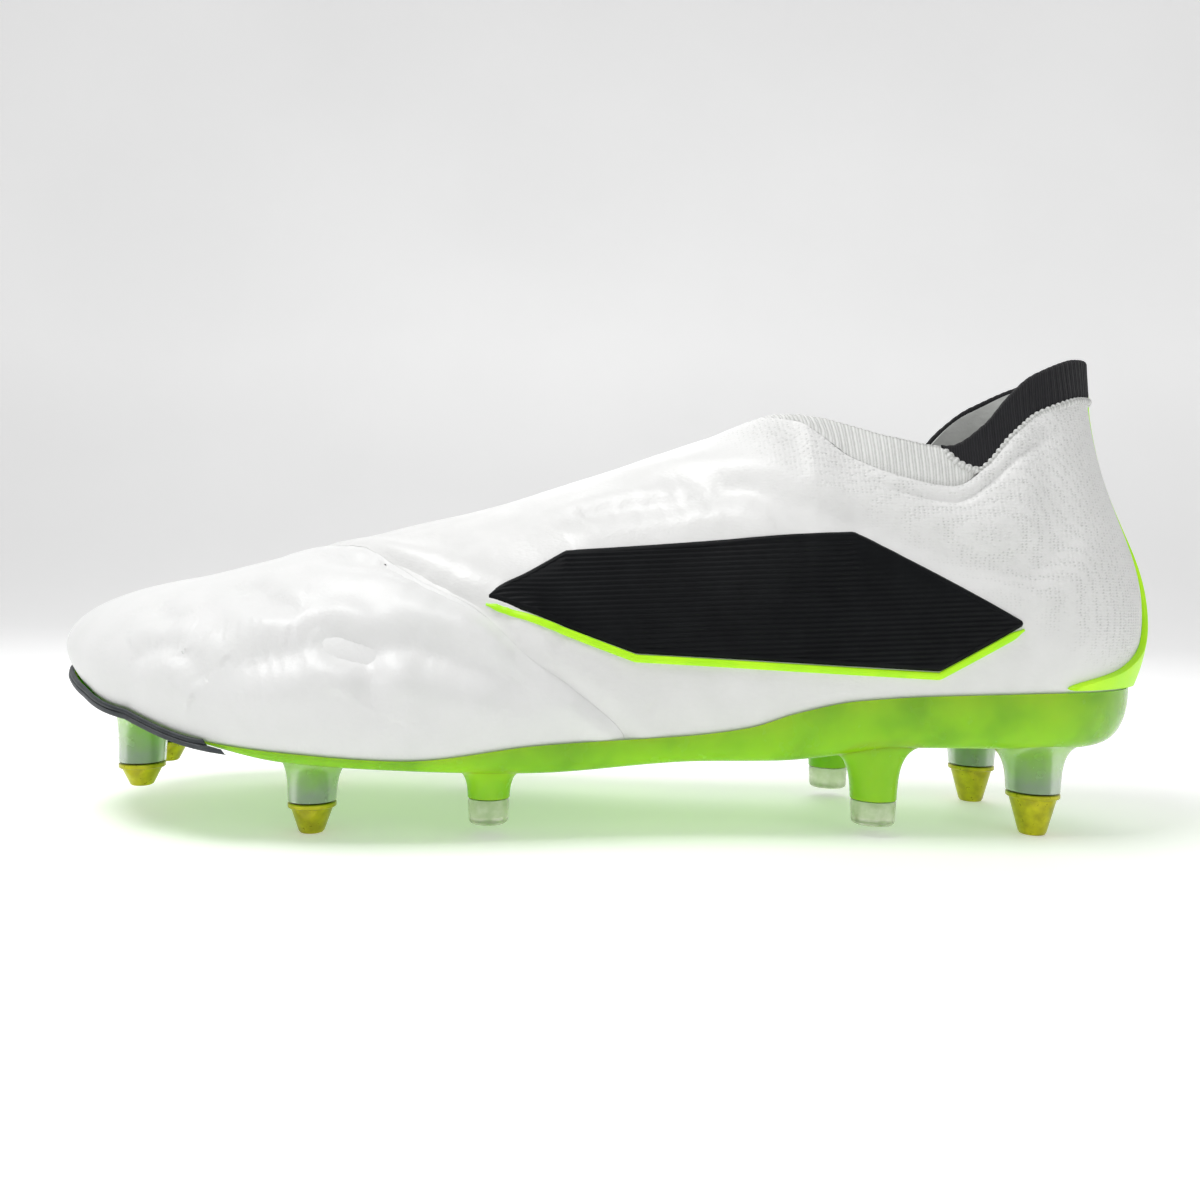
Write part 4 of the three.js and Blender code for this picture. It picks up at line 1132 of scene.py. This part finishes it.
plate_edge = through([
    [-1, toeward(0.88)], [-0.87, toeward(0.68)], [TOE_CENTRE, toeward(0.42)],
    [-0.64, toeward(0.18)], [-0.5, PLATE_CLEARANCE + 3], [-0.35, PLATE_CLEARANCE + 1.4],
    [-0.1, PLATE_CLEARANCE], [0.17, PLATE_CLEARANCE + 2.3], [0.3, PLATE_CLEARANCE + 2.6],
    [0.55, HEEL_SEAT - PLATE - GAP], [1, HEEL_SEAT - PLATE - GAP],
])
plate_inset = through([[-1, 2], [-0.5, 3], [0, 5], [0.4, 7], [1, 8.5]])
WALL_ROWS = 26


def plate_outside(u, q):
    """The plate's lower surface: q 0 to 1 is the underside, and 1 to 2 climbs the edge."""
    u, q = np.broadcast_arrays(u, q)
    side, s = around(u)
    x, y, ahead, aside = slice_plan(side, s)
    reach = outline(side, s)
    edge = (reach - plate_inset(s), plate_edge(s))
    top = (reach + PLATE_EDGE, feather_height(s))
    middle = seat_height(np.clip(s, TOE_CENTRE, HEEL_CENTRE)) - PLATE - GAP
    wall = bezier(
        edge,
        (edge[0] + 0.7 * (top[0] - edge[0]), edge[1]),
        (top[0], edge[1] + 0.4 * (top[1] - edge[1])),
        top,
        np.clip(q - 1, 0, 1),
    )
    under = np.minimum(q, 1)
    out = np.where(q > 1, wall[0], edge[0] * under)
    height = np.where(q > 1, wall[1], middle + (edge[1] - middle) * under ** 3)
    return np.stack([x + ahead * out, y + aside * out, height], -1)


def plate_inside(u, q):
    u, q = np.broadcast_arrays(u, q)
    side, s = around(u)
    x, y, ahead, aside = slice_plan(side, s)
    reach = (outline(side, s) - LASTING_MARGIN) * np.minimum(q, 1)
    spread = np.minimum(q, 1)
    middle = seat_height(np.clip(s, TOE_CENTRE, HEEL_CENTRE))
    height = middle + (seat_height(s) - middle) * spread * spread - GAP
    floor = np.stack([x + ahead * reach, y + aside * reach, height], -1)
    cup = last_offset(u, np.clip(q - 1, 0, 1) * FEATHER, GAP)
    return np.where((q > 1)[..., None], cup, floor)


MOULDED_STUDS = [
    ("forefoot_lateral", -0.18, -0.32, 3, 4.6, 10),
    ("forefoot_medial", -0.235, 0.26, 3, 4.6, 10),
    ("heel_front_lateral", 0.48, -0.235, 2.6, 5.2, 12),
    ("heel_front_medial", 0.48, 0.235, 2.6, 5.2, 12),
]
METAL_STUDS = [
    ("toe_lateral", -0.81, -0.17, 7.3, 2.5, 5.35, 5.7, 9.8),
    ("toe_medial", -0.86, 0.14, 8.2, 2.5, 5.35, 5.7, 9),
    ("ball_lateral", -0.475, -0.32, 0, 2.75, 5.5, 7.2, 10),
    ("ball_medial", -0.59, 0.28, 0, 2.75, 5.5, 7.2, 10),
    ("heel_lateral", 0.768, -0.2, 0, 3.1, 6.2, 10.3, 13),
    ("heel_medial", 0.768, 0.2, 0, 3.1, 6.2, 10.3, 13),
]
CLEAR_TIP_HEIGHT = 5.8
INSERT_RADIUS = 4
INSERT_LENGTH = 6.6
POST_RADIUS = 2.3
POST_LENGTH = 5.8
POST_CLEARANCE = 0.35
POST_SOCKET = 2
TIP_COLLAR = 1.2
TIP_LEDGE = 0.7
WRENCH_FLAT = 0.8
THREAD_PITCH = 1.25
THREAD_DEPTH = 0.28


def make_plate():
    """The plate with its edge, the ground that its moulded studs are later drawn down from."""
    columns = 640
    q = np.concatenate([np.linspace(0, 1, 40), np.linspace(1, 2, WALL_ROWS)[1:]])[:, None]
    u = np.linspace(0, 2, columns, endpoint=False)[None, :]
    outer, inner = plate_outside(u, q), plate_inside(u, q)
    u, q = np.broadcast_arrays(u, q)
    grids = [np.concatenate([g, g[:, :1]], 1) for g in (outer, inner)]
    turn, climb = np.concatenate([u, u[:, :1] + 2], 1), np.concatenate([q, q[:, :1]], 1)
    sealed = np.zeros(turn.shape, bool)
    sealed[:, 0] = sealed[:, -1] = True
    sealed[0] = True
    return shell("sole_plate", [(*grids, pattern_of(turn, climb), sealed)], LOOKS["plate"])


STUD_SIDES = 72
SKIRT_ROWS = 26
AXIS_RADIUS = 0.01  # a ring this small closes a stud or lathed piece on its axis


def ring_of(sides, x, y, radius, z):
    angle = full_turn(sides)
    return np.stack([x + radius * np.cos(angle), y + radius * np.sin(angle), z + 0 * angle], -1)


def skirt(ground, x, y, seat, radius, base_radius):
    """Flared wall from a stud's seat up to the plate, ending on the plate's own surface."""
    foot = ring_of(STUD_SIDES, x, y, radius, seat)
    below = Vector(((x + SHIFT[0]) * MM, (y + SHIFT[1]) * MM, 0))
    height = ground.ray_cast(below, Vector((0, 0, 1)))[0].z / MM
    ends = []
    for target in ring_of(STUD_SIDES, x, y, base_radius, height) + SHIFT:
        ends.append(np.array(ground.find_nearest(Vector(target * MM))[0]) / MM - SHIFT)
    ends = np.array(ends) + [0, 0, 0.25]
    t = np.linspace(0, 1, SKIRT_ROWS)[:, None, None]
    run = 0.12 * t + 0.88 * t ** 2.6
    rise = 1 - (1 - t) ** 1.7
    return foot + np.concatenate([run, run, rise], -1) * (ends - foot), height


def make_moulded_studs(plate, ground):
    parts = [plate]
    for name, place, across, foot, radius, base_radius in MOULDED_STUDS:
        x, y = place * HALF, across * BALL_WIDTH
        seat = foot + CLEAR_TIP_HEIGHT + GAP
        body_radius = radius + 0.3
        wall, height = skirt(ground, x, y, seat, body_radius, base_radius)
        rings = [AXIS_RADIUS, body_radius * 0.6, body_radius - 0.2]
        floor = [ring_of(STUD_SIDES, x, y, r, seat) for r in rings]
        lid = ring_of(STUD_SIDES, x, y, AXIS_RADIUS, height + 1)
        grid = np.concatenate([np.array(floor), wall, lid[None]])
        parts.append(round_mesh("stud_body_" + name, grid, LOOKS["plate"]))
        profile = [
            (AXIS_RADIUS, foot + 0.35), (radius * 0.55, foot + 0.3), (radius - 1.1, foot),
            (radius - 0.5, foot + 0.08), (radius - 0.12, foot + 0.4), (radius, foot + 0.9),
            (radius + 0.12, foot + 3), (body_radius - 0.05, seat - GAP - 0.5),
            (body_radius - 0.25, seat - GAP), (AXIS_RADIUS, seat - GAP),
        ]
        tip = lathe("clear_tip_" + name + "_worn", profile, x, y, LOOKS["clear"], STUD_SIDES)
        finish_piece(tip, "root", "clear", "clear_tip_" + name)
    bpy.ops.object.select_all(action="DESELECT")
    for part in parts:
        part.select_set(True)
    bpy.context.view_layer.objects.active = plate
    bpy.ops.object.join()
    finish_piece(plate, "root", "plate", "outsole_plate")


def make_stud_base(ground, name, x, y, seat, seat_radius, base_radius):
    wall, height = skirt(ground, x, y, seat, seat_radius, base_radius)
    hole = INSERT_RADIUS + GAP
    ceiling = seat + INSERT_LENGTH + GAP
    inside = [
        (AXIS_RADIUS, ceiling), (hole, ceiling), (hole, seat + 0.3), (hole + 0.3, seat),
        (seat_radius - 0.25, seat),
    ]
    rings = [ring_of(STUD_SIDES, x, y, r, z) for r, z in inside]
    lip = wall[0] + [0, 0, 0.12]
    lid = ring_of(STUD_SIDES, x, y, AXIS_RADIUS, max(height - 0.4, ceiling + 0.6))
    grid = np.concatenate([np.array(rings), lip[None], wall[1:], lid[None]])
    rise = (grid[..., 2] - seat) / (wall[-1, :, 2].min() - seat)
    down = np.clip(1 - rise, 0, 1)
    spin = np.broadcast_to(np.linspace(0, 30, STUD_SIDES)[None, :], down.shape)
    pattern = np.stack([spin, down], -1)
    piece = round_mesh("stud_base_" + name + "_flared", grid, LOOKS["stud_base"], pattern)
    finish_piece(piece, "root", "stud_base", "stud_base_" + name)


def make_stud_tip(name, x, y, foot, foot_radius, seat_radius, height):
    """Metal cone under a round collar, with two wrench flats and a socket for its post."""
    seat = foot + height
    cone_top = seat - TIP_COLLAR
    cone_radius = seat_radius - TIP_LEDGE
    socket = POST_RADIUS + POST_CLEARANCE
    shoulder_points = 7
    cone = [
        (foot_radius + (cone_radius - foot_radius) * t, foot + (cone_top - foot) * t)
        for t in np.linspace(0, 1, 14)[1:]
    ]
    profile = np.array([
        (AXIS_RADIUS, foot), (foot_radius - 0.5, foot), (foot_radius - 0.15, foot + 0.12),
        (foot_radius + 0.03, foot + 0.45), *cone,
        (seat_radius - 0.2, cone_top + 0.02), (seat_radius, cone_top + 0.2),
        (seat_radius, seat - 0.2), (seat_radius - 0.2, seat), (socket, seat),
        (socket, seat - POST_SOCKET), (AXIS_RADIUS, seat - POST_SOCKET),
    ])
    angle = full_turn(96)
    across = profile[:, :1] * np.sin(angle)
    limit = cone_radius - WRENCH_FLAT
    is_cone = np.arange(len(profile))[:, None] < len(profile) - shoulder_points
    across = np.where(is_cone, np.clip(across, -limit, limit), across)
    height = np.broadcast_to(profile[:, 1:], across.shape)
    ring = np.stack([x + profile[:, :1] * np.cos(angle), y + across, height], -1)
    piece = round_mesh("stud_tip_" + name + "_cone", ring, LOOKS["stud_metal"])
    finish_piece(piece, "tip_" + name, "stud_metal", "stud_tip_" + name)


POST_SIDES = 40


def make_post(name, x, y, seat):
    """Threaded post: its flank rises one pitch in each turn."""
    foot, top = seat - POST_SOCKET, seat + POST_LENGTH
    z = np.linspace(foot, top, 90)[:, None]
    angle = full_turn(POST_SIDES)[None, :]
    phase = np.mod(z / THREAD_PITCH - angle / (2 * math.pi), 1)
    flank = 1 - np.abs(2 * phase - 1)
    fade = smooth_step(z, foot + 1.6, foot + 2.4) * (1 - smooth_step(z, top - 0.7, top))
    radius = POST_RADIUS - 0.25 + (THREAD_DEPTH + 0.2) * flank * fade
    wall = np.stack([x + radius * np.cos(angle), y + radius * np.sin(angle), z + 0 * angle], -1)
    bottom, lid = (ring_of(POST_SIDES, x, y, AXIS_RADIUS, end)[None] for end in (foot, top))
    grid = np.concatenate([bottom, wall, lid])
    piece = round_mesh("stud_post_" + name + "_thread", grid, LOOKS["steel"])
    finish_piece(piece, "post_" + name, "steel", "stud_post_" + name)


def make_insert(name, x, y, seat):
    bore = POST_RADIUS + POST_CLEARANCE
    top = seat + INSERT_LENGTH
    bore_top = seat + POST_LENGTH + GAP
    profile = [
        (AXIS_RADIUS, bore_top), (bore, bore_top), (bore, seat + 0.3), (bore + 0.25, seat),
        (INSERT_RADIUS - 0.2, seat), (INSERT_RADIUS, seat + 0.2), (INSERT_RADIUS, top),
        (AXIS_RADIUS, top),
    ]
    piece = lathe("stud_insert_" + name + "_sleeve", profile, x, y, LOOKS["brass"], 48)
    finish_piece(piece, "root", "brass", "stud_insert_" + name)


def make_sole():
    plate = make_plate()
    corners = [vertex.co.copy() for vertex in plate.data.vertices]
    ground = BVHTree.FromPolygons(corners, [list(face.vertices) for face in plate.data.polygons])
    make_moulded_studs(plate, ground)
    for name, place, across, foot, foot_radius, seat_radius, height, base_radius in METAL_STUDS:
        x, y = place * HALF, across * BALL_WIDTH
        seat = foot + height + GAP
        make_stud_base(ground, name, x, y, seat, seat_radius, base_radius)
        make_stud_tip(name, x, y, foot, foot_radius, seat_radius, height)
        make_post(name, x, y, seat)
        make_insert(name, x, y, seat)


def make_toe_rim():
    """Dark rim in two layers round the toe, cut off at a slant behind."""
    steps = 300
    k = np.linspace(-1, 1, steps)
    section = np.array([
        (0.25, -1.0), (0.6, -1.1), (1.15, -0.95), (1.3, -0.6), (1.3, -0.1), (1.05, 0.08),
        (0.8, 0.14), (1.1, 0.22), (1.2, 0.45), (1.1, 0.85), (0.85, 1.05), (0.4, 1.1), (0.2, 0.9),
        (0.2, 0),
    ])
    heights = section[:, 1][None, :]
    reach = place_of(RIM_END) - 0.002 - 0.008 * (heights + 1.1) / 2.2 + 0.012 * (heights < 0)
    u = k[:, None] * reach
    side, s = around(u)
    x, y, ahead, aside = slice_plan(side, s)
    thin = 0.35 + 0.65 * (1 - smooth_step(np.abs(k), 0.93, 1))[:, None]
    out = outline(side, s) + PLATE_EDGE + section[:, 0][None, :] * thin
    height = feather_height(s) - RIM_HEIGHT * 0.35 + heights * RIM_HEIGHT / 2
    points = np.stack([x + ahead * out, y + aside * out, height], -1)
    piece = sweep("toe_rim_layers", points, LOOKS["rim"], pattern_of(u, heights / 100 + 0 * u))
    finish_piece(piece, "root", "rim", "toe_rim")


# ---- Inside the shoe --------------------------------------------------------------------

PADDING = 1.6
LINING = 0.7
BOARD = 1.2
SOCKLINER = 3
COVER = 0.6
HEEL_LIFT = 2.2
LINING_BOTTOM = 0.25
lining_row = through([[-0.1, 1], [0.06, 0], [0.45, 0], [0.6, 1]])
lining_fade = through([[0.75, 1], [CUFF_SEAM, 0]])
heel_lift = share([[0.2, 0], [0.5, 1]], HEEL_LIFT)
foot_inset = through([[-1, 8], [TOE_CENTRE, 6.2], [0, 6.2], [0.4, 9], [1, 9]])
EDGE_START = 0.9  # share of a sheet's half width from which its edge is rounded off
CUSHION_START = 0.39
SIDE_HEIGHT = 60  # length of a level line from feather to ridge, on average
SKIVE = 2.5  # width of a layer's thinned edge
PADDING_SPAN = (-0.69, -0.12)
FOAM_SPAN = (CUFF_BACK + 0.003, 0.86)
FOAM_LEVELS = (0.53, 0.7)
COUNTER_LEVELS = (LINING_BOTTOM, 0.52)


def lining_depth(u, v):
    s = around(u)[1]
    fade = np.where(s > THROAT, lining_fade(v), 1)
    return -(SKIN + GAP + (PADDING + GAP) * lining_row(s) * fade)


def make_heel_lining():
    rows, columns = 60, 260
    top = 0.995
    v = np.linspace(LINING_BOTTOM, top, rows)[:, None]
    start = place_of(VAMP_END) + 0.0005
    u = np.linspace(start, 2 - start, columns)[None, :]
    u, v = np.broadcast_arrays(u, v)
    depth = lining_depth(u, v) - 0.05
    soft = 0.12 * wander(last_point(u, v), 9, 6.6)
    outer = last_offset(u, v, depth)
    inner = last_offset(u, v, depth - LINING - 0.12 + soft)
    sealed = (v >= top) & (around(u)[1] < THROAT)
    piece = shell("heel_lining_knit", [(outer, inner, pattern_of(u, v), sealed)], LOOKS["lining"])
    finish_piece(piece, "root", "lining", "heel_lining")


def seat_grid(start, columns, height):
    """Grid on the seat from its middle line to the footbed's edge, height above the seat at
    each place s, with its u and q and the rounding of its edge from 0 to 1."""
    steps = [np.linspace(0, EDGE_START, 16), np.linspace(EDGE_START, 1, 9)[1:]]
    q = np.concatenate(steps)[:, None]
    u = np.linspace(start, 2 - start, columns)[None, :]
    u, q = np.broadcast_arrays(u, q)
    side, s = around(u)
    x, y, ahead, aside = slice_plan(side, s)
    reach = (outline(side, s) - foot_inset(s)) * q
    spread = reach / (outline(side, s) - LASTING_MARGIN)
    middle = seat_height(np.clip(s, TOE_CENTRE, HEEL_CENTRE))
    seat = middle + (seat_height(s) - middle) * spread * spread + height(s)
    points = np.stack([x + ahead * reach, y + aside * reach, seat], -1)
    past = ((q - EDGE_START) / (1 - EDGE_START)).clip(0, 1)
    edge = 1 - np.sqrt(np.clip(1 - past ** 2, 0, 1))
    return points, u, q, edge


def raised(points, height):
    moved = points.copy()
    moved[..., 2] += height
    return moved


def seat_sheet(bottom, top, crown):
    """Grids of a sheet on the seat: its top softly crowned and rounded off at its edge."""
    flat, u, q, edge = seat_grid(0, 321, lambda s: SKIN + 3 * GAP + BOARD + heel_lift(s))
    soft = crown * wander(flat, 20, 8.8)
    sealed = np.zeros(u.shape, bool)
    sealed[:, 0] = sealed[:, -1] = True
    sealed[0] = True
    upper = raised(flat, top + soft - edge * 0.45 * (top - bottom))
    return upper, raised(flat, bottom), pattern_of(u, q), sealed


def make_cushion():
    """Foam plug under the heel, which fills the lift of the footbed."""
    base = SKIN + 2 * GAP + BOARD
    flat, u, q, edge = seat_grid(place_of(CUSHION_START), 181, lambda s: base)
    lift = heel_lift(around(u)[1])
    grids = (raised(flat, lift - 0.35 * edge), raised(flat, GAP), pattern_of(u, q), q <= 0)
    piece = shell("heel_cushion_plug", [grids], LOOKS["foam"])
    finish_piece(piece, "root", "foam", "heel_cushion")


def make_footbed():
    pad = shell("sockliner_pad", [seat_sheet(GAP, GAP + SOCKLINER, 0.0)], LOOKS["foam"])
    finish_piece(pad, "root", "foam", "sockliner")
    low = 2 * GAP + SOCKLINER
    cloth = shell("sockliner_cloth", [seat_sheet(low - 0.2, low + COVER, 0.12)], LOOKS["cover"])
    finish_piece(cloth, "root", "cover", "sockliner_cover")


def between_layers(name, spans, levels, depths, slot, replaced):
    """A soft or stiff layer inside the upper, thinner at its edges and soft on its inner face."""
    rows, columns = 44, 260
    outside, inside = depths
    closes = levels[1] >= 1  # the two sides meet on the ridge
    sheets = []
    for start, end in spans:
        v = np.linspace(*levels, rows)[:, None]
        u = np.linspace(start, end, columns)[None, :]
        u, v = np.broadcast_arrays(u, v)
        to_level = np.minimum(v - levels[0], 1 if closes else levels[1] - v) * SIDE_HEIGHT
        to_end = np.minimum(u - start, end - u) * LENGTH
        thin = 0.25 * hump(np.clip(np.minimum(to_level, to_end) / SKIVE, 0, 1))
        soft = 0.1 * wander(last_point(u, v), 11, 4.4)
        outer = last_offset(u, v, outside(u, v) - 0.02)
        inner = last_offset(u, v, inside(u, v) + np.clip(thin + soft, 0, 0.3))
        sealed = (v >= TOP) & (around(u)[1] < THROAT)
        sheets.append((outer, inner, pattern_of(u, v), sealed))
    piece = shell(name, sheets, LOOKS[slot])
    return finish_piece(piece, "root", slot, replaced)


def make_layers():
    def deep(u, _):
        return -(SKIN + GAP) + 0 * u

    def under(u, v):
        return -(SKIN + GAP) + puff(u, v)

    def pad(u, _):
        return -(SKIN + GAP + PADDING) + 0 * u

    def lining_in(u, v):
        return lining_depth(u, v) - LINING

    def both(low, high):
        """Spans on the lateral and the medial side."""
        ends = (place_of(low), place_of(high))
        return [ends, (2 - ends[1], 2 - ends[0])]

    wall = (LINING_BOTTOM, 1.0)
    toe, seam, heel = place_of(TOE_CENTRE), place_of(VAMP_END), place_of(HEEL_CENTRE)
    between_layers("toe_puff_shell", [(-toe, toe)], wall, (deep, pad), "stiffener", "toe_puff")
    between_layers(
        "heel_counter_cup", [(heel, 2 - heel)], COUNTER_LEVELS, (under, pad), "stiffener",
        "heel_counter",
    )
    between_layers(
        "vamp_lining_knit", [(0.0005 - seam, seam - 0.0005)], wall, (lining_depth, lining_in),
        "lining", "vamp_lining",
    )
    padding = between_layers(
        "vamp_padding_foam", both(*PADDING_SPAN), wall, (deep, pad), "foam", "vamp_padding"
    )
    for label, span in zip(("lateral", "medial"), both(*FOAM_SPAN)):
        foam = between_layers(
            "ankle_foam_" + label + "_pad", [span], FOAM_LEVELS, (under, pad), "foam",
            "ankle_foam_" + label,
        )


for shoe_side, side_label in ((LATERAL, "lateral"), (MEDIAL, "medial")):
    make_panel(shoe_side, side_label)
    make_piping(shoe_side, side_label)
make_spine()
make_badge()
make_sole()
make_toe_rim()
make_heel_lining()
make_layers()
make_cushion()
make_footbed()

# ---- Floor, light and camera ------------------------------------------------------------


FLOOR_REACH = 4.0
BACKDROP = 1.0
BACKDROP_ROUND = 0.5
FLOOR_GLOW = 0.3
WORLD_LIGHT = 0.34


def make_stage():
    """Pale floor that curves up into a backdrop behind the shoe."""
    mesh = bpy.data.meshes.new("floor")
    line = [(-FLOOR_REACH, 0.0)]
    for angle in np.linspace(0, math.pi / 2, 13):
        y = BACKDROP + BACKDROP_ROUND * math.sin(angle)
        line.append((y, BACKDROP_ROUND * (1 - math.cos(angle))))
    line.append((BACKDROP + BACKDROP_ROUND, FLOOR_REACH))
    points = [(x, y, z) for y, z in line for x in (-FLOOR_REACH, FLOOR_REACH)]
    faces = [(2 * i, 2 * i + 1, 2 * i + 3, 2 * i + 2) for i in range(len(line) - 1)]
    mesh.from_pydata(points, [], faces)
    mesh.polygons.foreach_set("use_smooth", [True] * len(faces))
    floor = bpy.data.objects.new("floor", mesh)
    bpy.context.scene.collection.objects.link(floor)
    look = Look("floor_look", Roughness=0.6, Specular_IOR_Level=0.2)
    look.colour(look.noise(400, 2), two((0.88, 0.88, 0.88), (0.92, 0.92, 0.92)))
    look.shader.inputs["Emission Color"].default_value = (1, 1, 1, 1)
    look.shader.inputs["Emission Strength"].default_value = FLOOR_GLOW
    mesh.materials.append(look.material)


def make_light(name, place, aim, size, watts):
    data = bpy.data.lights.new(name, "AREA")
    data.shape = "RECTANGLE"
    data.size, data.size_y = size
    data.energy = watts
    light = bpy.data.objects.new(name, data)
    bpy.context.scene.collection.objects.link(light)
    light.location = place
    light.rotation_euler = (Vector(aim) - Vector(place)).to_track_quat("-Z", "Y").to_euler()


CAMERA_DISTANCE = 0.2525
CAMERA_HEIGHT = 0.05535
CAMERA_LENS = 28.44
CAMERA_ROLL = -0.0188


def make_camera():
    data = bpy.data.cameras.new("camera")
    data.lens = CAMERA_LENS
    data.sensor_width = 36
    data.clip_start = 0.01
    camera = bpy.data.objects.new("camera", data)
    bpy.context.scene.collection.objects.link(camera)
    camera.location = (float(SHIFT[0]) * MM, -CAMERA_DISTANCE, CAMERA_HEIGHT)
    camera.rotation_euler = (math.pi / 2, CAMERA_ROLL, 0)
    bpy.context.scene.camera = camera


def make_world():
    world = bpy.data.worlds.new("studio")
    world.use_nodes = True
    background = world.node_tree.nodes["Background"]
    background.inputs["Color"].default_value = (1, 1, 1, 1)
    background.inputs["Strength"].default_value = WORLD_LIGHT
    bpy.context.scene.world = world


make_stage()
make_world()
make_light("key", (-0.3, -0.14, 0.75), (0, 0, 0.06), (0.4, 0.25), 3.9)
make_light("fill", (0.55, -0.5, 0.4), (0, 0, 0.05), (0.4, 0.4), 0.5)
make_light("back", (0.1, 0.7, 0.6), (0, 0, 0.06), (0.6, 0.4), 1.6)
make_camera()
bpy.context.scene.view_settings.view_transform = "Standard"
